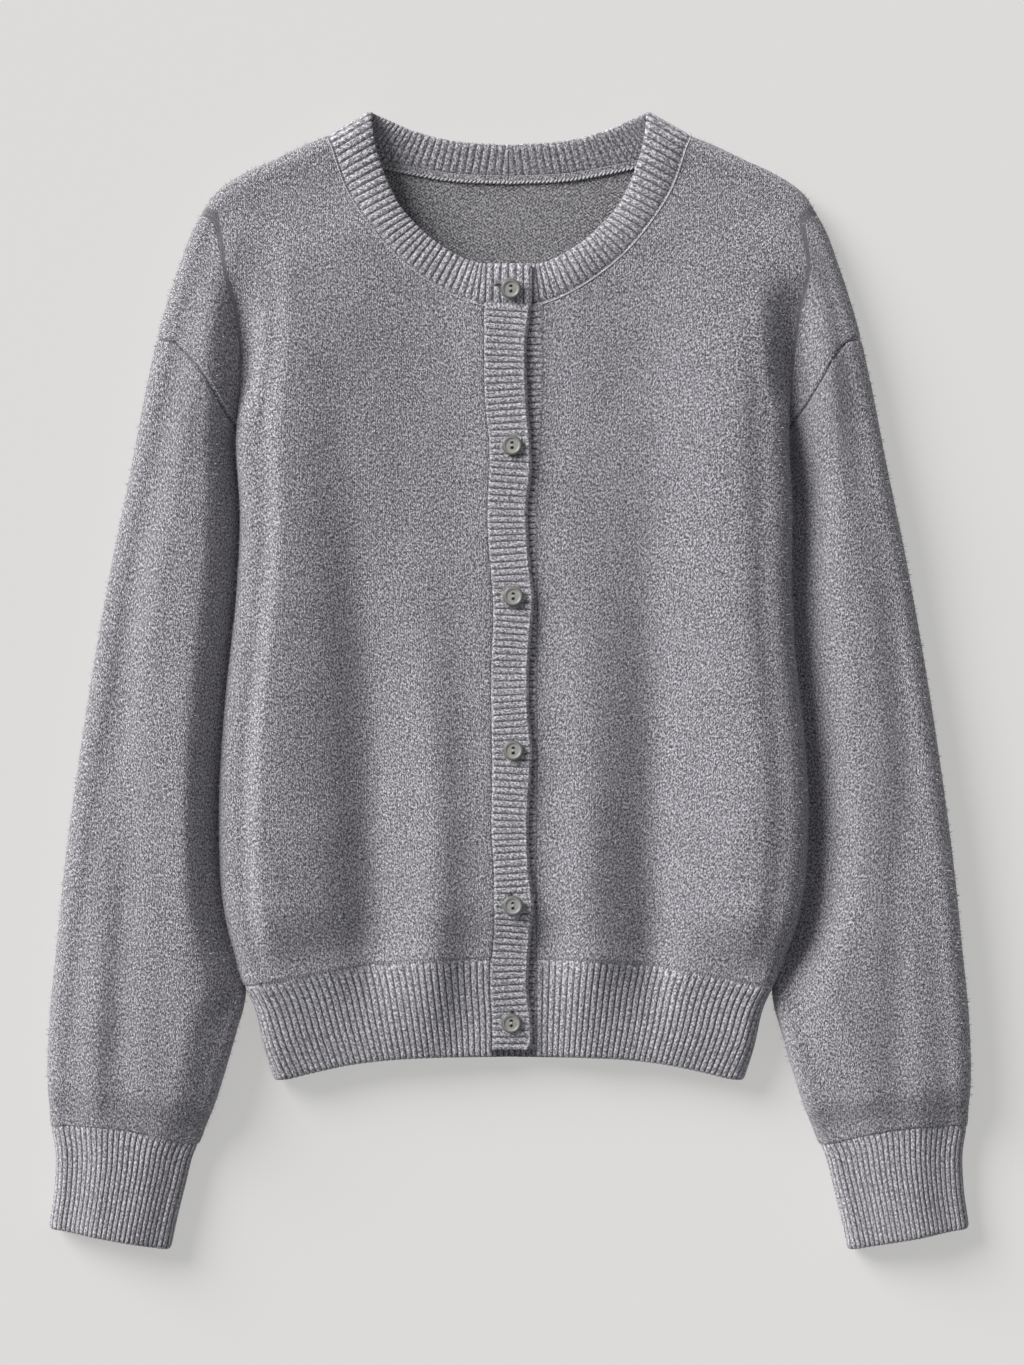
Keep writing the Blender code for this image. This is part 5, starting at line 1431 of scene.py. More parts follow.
@dataclass
class CuffBand(ArmPanel):
    """A cuff: ribs run down it over the top and both edges, and it is flat beneath."""

    cells_a_rib: int = 8
    top: int = 21 * 8
    wrap: int = 8 * 8
    bottom: int = 16
    tuck: int = 8 * 8
    rows: int = 19
    rise: float = 0.95

    def build(self) -> Piece:
        """The cuff's wall."""
        base = self.rings(CUFF_RINGS, self.rows)
        for ring in base:
            ring[: self.top + 1] = stations(ring[: self.top + 1], self.top + 1)
        phase = np.arange(base.shape[1] + 1)[None] / self.cells_a_rib
        down = lengths(base[:, self.top // 2])
        chart = np.stack(np.broadcast_arrays(phase * RIB_WIDTH, -down[:, None]), -1)
        cloth = self.cloth(base, chart)
        phase = np.broadcast_to(phase[:, :-1], cloth.points.shape[:2])
        relief, fade = cloth.ribs(phase, self.rise)
        sink = cloth.sink_edges(first=(0.2, 1.6), last=(0.55, 1.8)) * fade
        # painted shade in the valleys between ribs, faded where the cuff turns under
        cloth.valley = rib_valley(phase) * fade
        return self.finish_wall(cloth, "cuff_ribs", sink, relief)


@dataclass
class FrontBand(Panel):
    """A front band: ribs run across it, up its whole length."""

    rib_pitch: float = 4.1
    cells_a_rib: int = 6
    cells_across: int = 13
    rise: float = 0.7
    under_free: float = -9.0
    selvedge: float = 2.6
    slit_half: float = 7.4
    slit_across: float = 2.0
    moss: float = 5.5
    moss_fade: float = 3.0
    tuck_run: float = 2.0
    tuck_reach: float = 2.0
    tuck_depth: float = 0.45

    def tilt(self, y: Array) -> Array:
        """Slope of the ribs, which fan out from each button."""
        ups = [up for _, up in BUTTON_PLACES]
        slope = np.zeros(np.shape(y))
        for upper, lower in zip(ups, ups[1:]):
            share = (upper - y) / (upper - lower)
            fan = -0.075 * np.sin(2 * math.pi * share)
            slope = np.where((y < upper) & (y >= lower), fan, slope)
        return slope

    def free_edge(self, y: Array) -> Array:
        """Where the band's free edge lies; the upper band's foot is rounded."""
        if self.side is Side.LEFT:
            return np.full(len(y), self.under_free)
        foot = np.clip((y - self.form.band_foot_up) / 7, 0.0, 1.0)
        return -self.form.band_free(y) + 4.5 * (1 - np.sqrt(1 - (1 - foot) ** 2))

    def base(self) -> tuple[Array, Array]:
        """The band's outer face before its relief, and the phase of the ribs by row."""
        form, side = self.form, self.side
        count = int(round((form.band_top_up - form.band_foot_up) / self.rib_pitch))
        y = np.linspace(form.band_foot_up, form.band_top_up, count * self.cells_a_rib + 1)
        y = y + 0.35 * np.sin(y / 9.7) + 0.2 * np.sin(y / 4.3 + 1)
        seam, free = form.seam_across(y, side), self.free_edge(y)
        x = mix(seam[:, None], free[:, None], shares_of(self.cells_across)[None])
        middle = (seam + free)[:, None] / 2
        up = y[:, None] + self.tilt(y)[:, None] * (middle - x) * side.value * -1.0
        top = np.maximum(hermite(*zip(*NECK_FRONT), x[-1]) - form.band_top_up, 0.0)
        up = up + top[None] * ease((y - 200) / 32)[:, None]
        tucked = ease((y - form.band_top_up + self.tuck_run) / self.tuck_run)[:, None]
        height = form.body_top(seam, y, side)[:, None] + 0 * x - self.tuck_depth * tucked
        points = np.stack([x, up + self.tuck_reach * tucked, height], -1)
        return points[:, ::-1], np.arange(len(y)) / self.cells_a_rib

    def build(self) -> Piece:
        """The band's wall."""
        base, phase = self.base()
        chart = np.stack(np.broadcast_arrays(phase[:, None] * RIB_WIDTH, base[..., 0]), -1)
        cloth = Cloth.finer(base, chart)
        fine = finer_rims(phase[:, None, None] + 0 * base[..., :1])[..., 0]
        x, y = cloth.points[..., 0], cloth.points[..., 1]
        runs = cloth.edge_runs()
        plain = ease(runs["far"] / 2)
        sink = cloth.sink_edges(near=(0.8, 1.3), far=(0.4, 1.2), first=(0.5, 1.5))
        edge = 0.0
        if self.side is Side.RIGHT:
            plain = ease(runs["near"] / self.selvedge) * plain
            for across, up in BUTTON_PLACES:
                away = np.hypot(x + across, y - up)
                plain = plain * ease((away - self.moss) / self.moss_fade)
            roll = np.clip(1 - np.abs(runs["near"] - 1.2) / 1.5, 0.0, 1.0)
            edge = 0.55 * ease(roll)
        relief = (rib_shape(fine) - 0.5) * self.rise * plain + edge
        # painted shade in the valleys between ribs, none on the plain selvedge and round the
        # buttons
        cloth.valley = rib_valley(fine) * plain
        for _, up in BUTTON_PLACES[1:] if self.side is Side.RIGHT else ():
            away_x = (x + self.slit_across) / 0.85
            away_y = (y - up) / self.slit_half
            inside = np.clip(1.2 - np.sqrt(away_x**2 + np.abs(away_y) ** 6), 0.0, 1.0)
            sink = np.maximum(sink, 1.7 * ease(inside * 1.6))
            # painted shade inside each buttonhole slit
            cloth.valley = np.maximum(cloth.valley, ease(inside * 1.8) * 1.2)
        return self.finish_wall(cloth, "band_ribs", sink, relief)


@dataclass
class Neckband:
    """The ribbed neckband, one strip from the right front round the back to the left."""

    form: Form
    fronts: tuple[FrontPanel, FrontPanel]
    pitch: float = 4.7
    cells_a_rib: int = 6
    rows: int = 9
    rise: float = 0.95
    bulge: float = 1.2
    thickness: float = 2.0
    ends: tuple[float, float] = (-13.6, -9.0)
    moss: float = 5.0
    moss_fade: float = 3.5
    # strength of the painted shade in the rib valleys of the inner face
    inside_shade: float = 0.6
    area: float = field(default=0.0, init=False)

    def back_line(self, front: FrontPanel) -> Array:
        """Points of the back's neck seam on the floor, from the centre to the shoulder."""
        return trace(NECK_BACK + (tuple(front.shoulder[0]),), 60)

    def half(self, front: FrontPanel, end: float) -> tuple[Array, Array, Array, Array]:
        """One half from the centre back: points, normals, runs and rib phases by column."""
        form, side = self.form, front.side
        seam, ways = front.seam_points, front.seam_ways
        back = self.back_line(front)[::-1]
        back = np.column_stack([back, np.zeros(len(back))])[1:]
        ahead = np.array([[end, NECK_FRONT[1][1], float(seam[0, 2])]])
        line = np.concatenate([ahead, seam, back])[::-1]
        ways = np.concatenate([UP[None], ways, np.tile(-UP, (len(back), 1))])[::-1]
        run = lengths(line)
        run -= run[len(back) + int(front.wrap_count * 2 / 3)]
        behind, before = (
            self.cells_a_rib * int(round(length / self.pitch)) for length in (-run[0], run[-1])
        )
        at = np.concatenate(
            [np.linspace(run[0], 0.0, behind + 1), np.linspace(0.0, run[-1], before + 1)[1:]]
        )
        base, ways = (
            np.stack([np.interp(at, run, part[:, k]) for k in range(3)], -1)
            for part in (line, ways)
        )
        runs = [row[0] for row in NECK_EDGE]
        edge = hermite(runs, [row[1:] for row in NECK_EDGE], at)
        edge[:, 0] -= np.maximum(at - runs[-1], 0.0)
        onto_front = ease(at / 20)
        edge[:, 2] += form.lap_lift(base[:, 0], base[:, 1], side) * onto_front
        middle = mix(base, edge, 0.5)
        middle[:, 2] += self.bulge * onto_front
        across = shares_of(self.rows)
        lines = np.stack([base, middle, edge]).reshape(3, -1)
        points = hermite([0.0, 0.5, 1.0], lines, across).reshape(len(across), len(at), 3)
        first = ease(across / 0.3)[:, None, None]
        normals = unit(mix(unit(ways)[None], -grid_normals(points), first))
        lapped = ease((at - runs[-1] - 1) / 4)[None, :, None]
        normals = unit(mix(normals, UP, lapped))
        if side is Side.RIGHT:
            points, normals = points * MIRROR, normals * MIRROR
        return points, normals, at, np.arange(-behind, before + 1) / self.cells_a_rib

    def build(self) -> Piece:
        """The neckband's wall."""
        right, left = (self.half(front, end) for front, end in zip(self.fronts, self.ends))
        base, normals = (
            np.hstack([right[k][:, ::-1], left[k][:, 1:]]) for k in (0, 1)
        )
        run, phase = (np.concatenate([right[k][::-1], left[k][1:]]) for k in (2, 3))
        down = lengths(base[:, base.shape[1] // 2])
        chart = np.stack(np.broadcast_arrays(phase[None] * RIB_WIDTH, down[:, None]), -1)
        cloth = Cloth.finer(base, chart)
        cloth.normals = unit(finer_rims(normals))
        fine, where = (
            finer_rims(part[None, :, None] + 0 * base[..., :1])[..., 0] for part in (phase, run)
        )
        front = ease((where + 9) / 8)
        behind = ease((-where - 4) / 8)
        runs = cloth.edge_runs()
        across, up = BUTTON_PLACES[0]
        away = np.hypot(cloth.points[..., 0] - across, cloth.points[..., 1] - up)
        ends = ease(np.minimum(runs["near"], runs["far"]) / 2)
        ends = ends * ease((away - self.moss) / self.moss_fade)
        seam = ease(runs["first"] / 3) * 0.75 + 0.25
        ribs = (rib_shape(fine) - 0.45) * self.rise * seam * ends
        sink = cloth.sink_edges(
            first=(0.25, 1.0), last=(0.75, 2.0), near=(0.6, 1.6), far=(0.6, 1.6)
        )
        depth = self.thickness + (ribs * 0.75 - sink * 0.8) * behind
        cloth.inner = cloth.points - cloth.normals * depth[..., None]
        cloth.points = cloth.points + cloth.normals * (ribs * front - sink * front)[..., None]
        # painted shade in the rib valleys, on the outer face in front and on the inner face behind
        cloth.valley = rib_valley(fine) * front * ends
        cloth.inner_valley = rib_valley(fine) * behind * self.inside_shade
        self.area = cloth.area()
        return wall("neckband_ribs", cloth, None)


@dataclass
class FlatPanel:
    """A piece that lies flat under the fronts, cut to its solid's outline."""

    node: str
    name: str
    finish: KnitFinish
    slot: str
    cells: tuple[float, float]
    rib_pitch: float = 0.0
    rise: float = 0.0
    lumps: float = 0.25
    shown_under: Form | None = None
    corner_start: float = 80.0
    corner_tuck: float = 1.0

    def hide_corners(self, edit: Edit) -> None:
        """Draw the lower edge up behind the front's edge, out from the corner's start."""
        for vert in edit.verts:
            across = abs(vert.co.x) / MM
            if across > self.corner_start:
                edge = self.shown_under.hem_edge(across) + self.corner_tuck
                share = float(ease((across - self.corner_start) / 8.0))
                up = vert.co.y / MM
                vert.co.y = mix(up, max(up, edge), share) * MM

    def build(self) -> Piece:
        """A merged copy of the solid, cut into a grid, with its relief on the upper face."""
        edit = bmesh.new()
        edit.from_mesh(bpy.data.objects[self.node].data)
        bmesh.ops.remove_doubles(edit, verts=edit.verts, dist=0.00001)
        flat = [edge for edge in edit.edges
                if len(edge.link_faces) == 2 and edge.calc_face_angle(0.0) < 0.001]
        bmesh.ops.dissolve_edges(edit, edges=flat, use_verts=False)
        low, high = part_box(self.node)
        for axis, way in enumerate((Vector((1.0, 0.0, 0.0)), Vector((0.0, 1.0, 0.0)))):
            count = int((high[axis] - low[axis]) / (self.cells[axis] * MM))
            for step in range(1, count + 1):
                place = low[axis] + (high[axis] - low[axis]) * step / (count + 1)
                bmesh.ops.bisect_plane(
                    edit, geom=edit.verts[:] + edit.edges[:] + edit.faces[:],
                    dist=1e-7, plane_co=way * place, plane_no=way,
                )
        self.relief(edit, low.z, high.z)
        if self.shown_under:
            self.hide_corners(edit)
        bmesh.ops.triangulate(edit, faces=[f for f in edit.faces if len(f.verts) > 4])
        piece = edited_mesh(self.name, edit)
        piece.data.shade_smooth()
        piece.data.set_sharp_from_angle(angle=math.radians(55))
        return piece

    def relief(self, edit: Edit, low: float, high: float) -> None:
        """Lumps or ribs on the upper face, painted shade in the rib valleys, and the cloth's own
        coordinates.
        """
        chart = edit.loops.layers.uv.new("cloth")
        mark = edit.verts.layers.float.new("valley")
        edge = {v for e in edit.edges if e.calc_face_angle(0.0) > 0.5 for v in e.verts}
        for vert in edit.verts:
            if vert.co.z < (low + high) / 2:
                continue
            x, y = vert.co.x / MM, vert.co.y / MM
            rise = self.lumps * math.sin(x / 9.1 + 0.6 * math.sin(y / 13.0)) * math.sin(y / 11.3)
            if self.rib_pitch:
                phase = np.array(x / self.rib_pitch)
                rise += self.rise * (float(rib_shape(phase)) - 1.0)
                # painted shade in the valleys between the back hem's ribs
                vert[mark] = float(rib_valley(phase))
            if vert in edge:
                rise -= 0.35
            vert.co.z += rise * MM
        scale = RIB_WIDTH / self.rib_pitch if self.rib_pitch else 1.0
        for face in edit.faces:
            for loop in face.loops:
                loop[chart].uv = (loop.vert.co.x * scale, loop.vert.co.y)


# ---------- buttons


def tube(path: Array, radius: float, sides: int) -> tuple[Array, Array]:
    """Points and quads of a tube with closed ends along a path, in the path's own units."""
    ways = unit(np.gradient(path, axis=0))
    across = unit(np.cross(ways, np.where(np.abs(ways[:, 2:3]) > 0.9, [[1.0, 0, 0]], UP)))
    other = np.cross(ways, across)
    turns = (np.arange(sides) / sides * 2 * math.pi)[None, :, None]
    swell = np.full(len(path), radius)
    swell[[0, -1]] = radius * 0.35
    ring = across[:, None] * np.cos(turns) + other[:, None] * np.sin(turns)
    points = (path[:, None] + ring * swell[:, None, None]).reshape(-1, 3)
    return points, grid_quads(len(path), sides, True)[:, [0, 3, 2, 1]]


def join_tubes(name: str, tubes: list[tuple[Array, Array]], matrix: Matrix) -> Piece:
    """Tubes in millimetres as one object, their ends closed, moved by a matrix."""
    edit = bmesh.new()
    for points, quads in tubes:
        verts = [edit.verts.new(Vector(p) * MM) for p in points]
        for quad in quads:
            edit.faces.new([verts[n] for n in quad])
    bmesh.ops.holes_fill(edit, edges=[e for e in edit.edges if e.is_boundary], sides=0)
    bmesh.ops.recalc_face_normals(edit, faces=edit.faces)
    bmesh.ops.transform(edit, matrix=matrix, verts=edit.verts)
    piece = edited_mesh(name, edit)
    piece.data.shade_smooth()
    return piece


@dataclass
class Button:
    """A dished two-hole button, turned from its profile, with the thread that holds it."""

    number: int
    segments: int = 64
    hole_diameter: float = 1.85
    hole_spacing: float = 3.0
    dish_depth: float = 0.55
    finish: ButtonFinish = ButtonFinish()
    # path of the dark tube of painted shade at the buttonhole's end
    slit_path: tuple = ((-10.5, 2.4, 0.3), (-8.2, 2.6, 0.55), (-5.8, 2.5, 0.5))

    def profile(self, radius: float, thick: float) -> list[tuple[float, float]]:
        """Radius and height of the turned profile, from the top's centre round to below."""
        dish, deep = thick - self.dish_depth, self.dish_depth
        points = [(0.0, dish + 0.05), (1.2, dish + 0.02), (2.6, dish)]
        for step in range(7):
            turn = step / 6 * math.pi / 2
            out = radius - 2.6 + 0.9 * math.sin(turn)
            points.append((out, dish + deep * (1 - math.cos(turn))))
        for step in range(1, 9):
            turn = step / 8 * math.pi * 0.62
            points.append((radius - 1.0 + math.sin(turn), thick - 1.0 + math.cos(turn)))
        lower = [(radius - 0.35, 0.7), (radius - 0.9, 0.2), (radius - 1.7, 0.0), (0.0, 0.0)]
        return points + lower

    def place(self) -> tuple[Matrix, float, float]:
        """Where the solid button lies: a matrix, its radius and its thickness, in mm."""
        points = np.array([v.co for v in bpy.data.objects[f"button_{self.number}"].data.vertices])
        centre = (points.min(0) + points.max(0)) / 2
        _, _, ways = np.linalg.svd(points - points.mean(0), full_matrices=False)
        up = ways[2] * np.sign(ways[2][2])
        high = (points - centre) @ up
        centre = centre + up * high.min()
        flat = (points - centre) - np.outer((points - centre) @ up, up)
        radius = np.linalg.norm(flat, axis=1).max() / MM
        z = Vector(up)
        x = Vector((0.0, 1.0, 0.0)).cross(z).normalized()
        matrix = Matrix((x, z.cross(x), z)).transposed().to_4x4()
        matrix.translation = Vector(centre)
        return matrix, float(radius), float((high.max() - high.min()) / MM)

    def build(self) -> Piece:
        """The button's mesh, drilled, in its place."""
        matrix, radius, thick = self.place()
        edit = bmesh.new()
        line = [edit.verts.new((r * MM, 0.0, z * MM)) for r, z in self.profile(radius, thick)]
        edges = [edit.edges.new(pair) for pair in zip(line, line[1:])]
        bmesh.ops.spin(
            edit, geom=line + edges, cent=(0, 0, 0), axis=(0, 0, 1),
            angle=2 * math.pi, steps=self.segments,
        )
        bmesh.ops.remove_doubles(edit, verts=edit.verts, dist=0.000002)
        bmesh.ops.recalc_face_normals(edit, faces=edit.faces)
        piece = edited_mesh(f"turned_button_{self.number}", edit)
        self.drill(piece, thick)
        self.shade_rim(piece, radius)
        piece.data.transform(matrix)
        piece.data.shade_smooth()
        piece.data.set_sharp_from_angle(angle=math.radians(40))
        piece.data.materials.clear()
        piece.data.materials.append(self.finish.material())
        self.thread(matrix, thick)
        return piece

    def shade_rim(self, piece: Piece, radius: float) -> None:
        """Mark how far out each point lies, and the walls of the holes, where painted shade goes.
        """
        points = np.array([v.co for v in piece.data.vertices]) / MM
        out = ease((np.hypot(points[:, 0], points[:, 1]) - radius + 2.3) / 2.0)
        hole = np.hypot(points[:, 0], np.abs(points[:, 1]) - self.hole_spacing / 2)
        mark_points(piece.data, "outer", np.maximum(out, hole < self.hole_diameter / 2 + 0.05))

    def drill(self, piece: Piece, thick: float) -> None:
        """Cut the two thread holes through the button."""
        radius = self.hole_diameter / 2 * MM
        for way in (-1, 1):
            edit = bmesh.new()
            bmesh.ops.create_cone(
                edit, cap_ends=True, segments=20, radius1=radius, radius2=radius,
                depth=4 * thick * MM,
                matrix=Matrix.Translation((0.0, way * self.hole_spacing / 2 * MM, 0.0)),
            )
            cutter = edited_mesh("drill", edit)
            cut = piece.modifiers.new("hole", "BOOLEAN")
            cut.operation, cut.solver, cut.object = "DIFFERENCE", "EXACT", cutter
            drilled = evaluated_mesh(piece)
            piece.modifiers.remove(cut)
            piece.data = drilled
            bpy.data.objects.remove(cutter)

    def thread(self, matrix: Matrix, thick: float) -> None:
        """Strands of thread between the holes, and a dark tube of painted shade for the
        buttonhole's end beside button 1.
        """
        top = thick - self.dish_depth
        inner = self.hole_spacing / 2 - self.hole_diameter / 2
        strands = []
        for shift in (-0.2, 0.18):
            path = (
                (shift, -inner - 0.25, top - 1.2), (shift, -inner, top - 0.05),
                (shift * 1.2, 0.0, top + 0.2),
                (shift, inner, top - 0.05), (shift, inner + 0.25, top - 1.2),
            )
            strands.append(tube(trace(path, 20), 0.2, 7))
        self.strands = join_tubes(f"button_thread_{self.number}", strands, matrix)
        self.slit = None
        if self.number == 1:
            slit = tube(trace(self.slit_path, 9), 0.42, 7)
            self.slit = join_tubes("buttonhole_end", [slit], matrix)


# ---------- repeated small things


def evaluated_mesh(piece: Piece) -> Mesh:
    """A piece's mesh with its modifiers worked out."""
    piece.update_tag()
    bpy.context.view_layer.update()
    made = piece.evaluated_get(bpy.context.evaluated_depsgraph_get())
    return bpy.data.meshes.new_from_object(made)


def modifier_result(source: Piece, group: NodeTree, values: dict[str, object],
                    name: str) -> Piece:
    """Run a geometry node tree on an object and keep its result as a plain mesh.

    Args:
        source: Object that carries the tree for a moment.
        group: The tree.
        values: Input values by socket name.
        name: Name of the new object.
    """
    modifier = source.modifiers.new("repeat", "NODES")
    modifier.node_group = group
    for item in group.interface.items_tree:
        if item.item_type == "SOCKET" and item.in_out == "INPUT" and item.name in values:
            modifier[item.identifier] = values[item.name]
    mesh = evaluated_mesh(source)
    source.modifiers.remove(modifier)
    mesh.name = name
    return new_object(name, mesh)


def fibre_mesh() -> Piece:
    """One loose fibre, a bent sliver a unit long, kept out of the render."""
    half = 0.048
    points = [(0.0, 0.0, 0.0), (half, 0.12, 0.45), (-half, 0.12, 0.45), (0.0, 0.42, 0.92)]
    piece = listed_mesh("fibre", points, faces=[(0, 1, 2), (2, 1, 3)])
    piece.hide_render = True
    return piece


def stitch_bead() -> Piece:
    """One stitch, a small lengthwise bead a unit long, kept out of the render."""
    edit = bmesh.new()
    bmesh.ops.create_uvsphere(edit, u_segments=6, v_segments=4, radius=0.5)
    bmesh.ops.rotate(edit, matrix=Matrix.Rotation(math.pi / 2, 3, "Y"), verts=edit.verts)
    bmesh.ops.scale(edit, vec=(1.0, 0.42, 0.34), verts=edit.verts)
    piece = edited_mesh("stitch", edit)
    piece.data.shade_smooth()
    piece.hide_render = True
    return piece


def fuzz_nodes(tree: Tree, take: Sockets) -> Sockets:
    """Scatter leaning fibres over the faces that can be seen."""
    normal = tree.split(tree.add("GeometryNodeInputNormal").outputs[0])
    place = tree.split(tree.add("GeometryNodeInputPosition").outputs[0])
    upward = tree.math("GREATER_THAN", normal.outputs[2], -0.3)
    lifted = tree.math("GREATER_THAN", place.outputs[2], take["Lowest"])
    seed = take["Seed"]
    points = tree.add("GeometryNodeDistributePointsOnFaces", {
        "Mesh": take["Cloth"], "Density": take["Density"], "Seed": seed,
        "Selection": tree.times(upward, lifted),
    })
    turned = points.outputs["Rotation"]
    for low, high, draw in (
        ((0.0, 0.0, 0.0), (0.0, 0.0, math.tau), seed),
        ((0.45, -0.3, 0.0), (1.45, 0.3, 0.0), tree.plus(seed, 5.0)),
    ):
        turn = tree.add(
            "FunctionNodeRandomValue", {0: low, 1: high, "Seed": draw}, data_type="FLOAT_VECTOR"
        )
        turned = tree.turn(turned, turn.outputs[0])
    size = tree.add("FunctionNodeRandomValue", {
        2: take["Shortest"], 3: take["Longest"], "Seed": tree.plus(seed, 9.0),
    }, data_type="FLOAT")
    fuzz = tree.scatter(
        points.outputs["Points"], take["Fibre"], turned, size.outputs[1], take["Finish"]
    )
    return {"Fuzz": fuzz}


FIBRES = Group("loose fibres", {
    "Cloth": (GEOMETRY, None), "Fibre": (OBJECT, None), "Density": (FLOAT, 1.0),
    "Seed": ("NodeSocketInt", 0), "Shortest": (FLOAT, 0.001), "Longest": (FLOAT, 0.003),
    "Lowest": (FLOAT, 0.004), "Finish": (MATERIAL, None),
}, {"Fuzz": GEOMETRY}, fuzz_nodes, "GeometryNodeTree")


@dataclass(frozen=True)
class Fuzz:
    """Loose fibres that stand off a piece of cloth, lengths in millimetres."""

    density: float = 370000.0
    shortest: float = 1.6
    longest: float = 5.0
    lowest: float = 5.5

    def grow(self, cloth: Piece, fibre: Piece, seed: int, slot: str) -> Piece:
        """Fibres over one piece of cloth."""
        values = {
            "Fibre": fibre, "Density": self.density, "Seed": seed,
            "Shortest": self.shortest * MM, "Longest": self.longest * MM,
            "Lowest": self.lowest * MM, "Finish": FUZZ.material(),
        }
        piece = modifier_result(cloth, FIBRES.tree(), values, f"fuzz_{cloth.name}")
        return dress(piece, FUZZ, slot)


def sewing_nodes(tree: Tree, take: Sockets) -> Sockets:
    """Lay stitches end to end along a line."""
    curve = tree.add("GeometryNodeMeshToCurve", {"Mesh": take["Line"]})
    inputs = {"Curve": curve.outputs[0], "Length": take["Pitch"]}
    even = tree.add("GeometryNodeCurveToPoints", inputs, mode="LENGTH")
    turn = tree.add(
        "FunctionNodeAlignRotationToVector", {"Vector": even.outputs["Tangent"]}, axis="X"
    )
    slant = tree.add("ShaderNodeCombineXYZ", {2: take["Slant"]})
    yaw = tree.turn(turn.outputs[0], slant.outputs[0])
    row = tree.scatter(
        even.outputs["Points"], take["Stitch"], yaw, take["Length"], take["Finish"]
    )
    return {"Sewing": row}


STITCH_ROW = Group("sewing", {
    "Line": (GEOMETRY, None), "Stitch": (OBJECT, None), "Pitch": (FLOAT, 0.002),
    "Length": (FLOAT, 0.002), "Slant": (FLOAT, 0.0), "Finish": (MATERIAL, None),
}, {"Sewing": GEOMETRY}, sewing_nodes, "GeometryNodeTree")


@dataclass(frozen=True)
class Sewing:
    """A row of stitches along a line, in millimetres."""

    name: str
    pitch: float
    length: float
    slant: float
    finish: PlainFinish = SEAM_YARN
    slot: str = "plain_knit"

    def sew(self, line: Array, stitch: Piece) -> Piece:
        """Stitches along a line of points."""
        edges = [(i, i + 1) for i in range(len(line) - 1)]
        guide = listed_mesh("seam line", (line * MM).tolist(), edges)
        values = {
            "Stitch": stitch, "Pitch": self.pitch * MM, "Length": self.length * MM,
            "Slant": self.slant, "Finish": self.finish.material(),
        }
        piece = modifier_result(guide, STITCH_ROW.tree(), values, self.name)
        bpy.data.objects.remove(guide)
        return dress(piece, self.finish, self.slot)


# ---------- studio


@dataclass
class Studio:
    """Plain pale floor, soft light from the upper left and a camera straight above."""

    scale: float = 0.00062
    image: tuple[int, int] = (1024, 1365)
    origin: tuple[float, float] = (509.0, 680.0)
    lens: float = 100.0
    sensor: float = 36.0
    outline_height: float = 0.015
    floor_half: float = 6.0
    floor_depth: float = 0.0004
    floor_colour: Colour = (0.31, 0.3075, 0.3025)
    floor_glow: float = 0.425
    sun_colour: Colour = (1.0, 0.99, 0.975)
    sun_power: float = 4.9
    sun_spread: float = 34.0
    sun_rise: float = 26.0
    sun_way: float = 141.0
    sky_colour: Colour = (0.96, 0.97, 1.0)
    surround: float = 0.26

    def camera(self) -> None:
        """A camera that looks straight down on the whole garment."""
        width, height = self.image
        data = bpy.data.cameras.new("overhead")
        data.lens, data.sensor_width, data.sensor_fit = self.lens, self.sensor, "AUTO"
        distance = height * self.scale * self.lens / self.sensor
        camera = bpy.data.objects.new("overhead", data)
        x = (width / 2 - self.origin[0]) * self.scale
        y = (self.origin[1] - height / 2) * self.scale
        camera.location = (x, y, distance + self.outline_height)
        bpy.context.scene.collection.objects.link(camera)
        bpy.context.scene.camera = camera

    def floor(self) -> None:
        """The surface the garment lies on."""
        half = self.floor_half
        corners = ((-half, -half), (half, -half), (half, half), (-half, half))
        points = [(x, y, -self.floor_depth) for x, y in corners]
        piece = listed_mesh("floor", points, faces=[(0, 1, 2, 3)])
        finish = PlainFinish(
            "pale_floor", self.floor_colour, roughness=0.9, sheen=0.0, specular=0.1,
            glow=self.floor_glow / self.floor_colour[0],
        )
        piece.data.materials.append(finish.material())

    def light(self) -> None:
        """A soft low sun from the upper left and an even surround."""
        data = bpy.data.lights.new("window", "SUN")
        data.energy, data.angle = self.sun_power, math.radians(self.sun_spread)
        data.color = self.sun_colour
        sun = bpy.data.objects.new("window", data)
        rise, way = math.radians(self.sun_rise), math.radians(self.sun_way)
        level = math.cos(rise)
        toward = Vector((level * math.cos(way), level * math.sin(way), math.sin(rise)))
        sun.rotation_euler = toward.to_track_quat("Z", "Y").to_euler()
        bpy.context.scene.collection.objects.link(sun)
        world = bpy.data.worlds.new("surround")
        world.use_nodes = True
        background = world.node_tree.nodes["Background"]
        background.inputs["Color"].default_value = opaque(self.sky_colour)
        background.inputs["Strength"].default_value = self.surround
        bpy.context.scene.world = world

    def build(self) -> None:
        """Camera, floor and light, in plain display colours."""
        self.camera()
        self.floor()
        self.light()
        bpy.context.scene.view_settings.view_transform = "Standard"
        bpy.context.scene.view_settings.look = "None"


# ---------- the cardigan


@dataclass(frozen=True)
class Role:
    """What a kind of panel stands for, its flat size in metres and what it lies on."""

    node: str
    seed: int
    flat: tuple[float, float]
    rests_on: str
    finish: KnitFinish = RIB
    slot: str = "rib_knit"
    fuzz: Fuzz = Fuzz(density=420000.0, shortest=1.0, longest=2.8)


ROLES = {
    FrontPanel: Role("front", 10, (0.245, 0.56), "back_cloth", PLAIN, "plain_knit", Fuzz()),
    HemBand: Role("hem", 30, (0.20, 0.065), "hem_ribs_back"),
    SleevePanel: Role("sleeve", 20, (0.25, 0.53), "floor", PLAIN, "plain_knit", Fuzz()),
    CuffBand: Role("cuff", 40, (0.21, 0.066), "floor"),
    FrontBand: Role("placket", 50, (0.031, 0.465), "back_cloth"),
    Neckband: Role("neckband", 60, (0.56, 0.028), "back_cloth"),
}


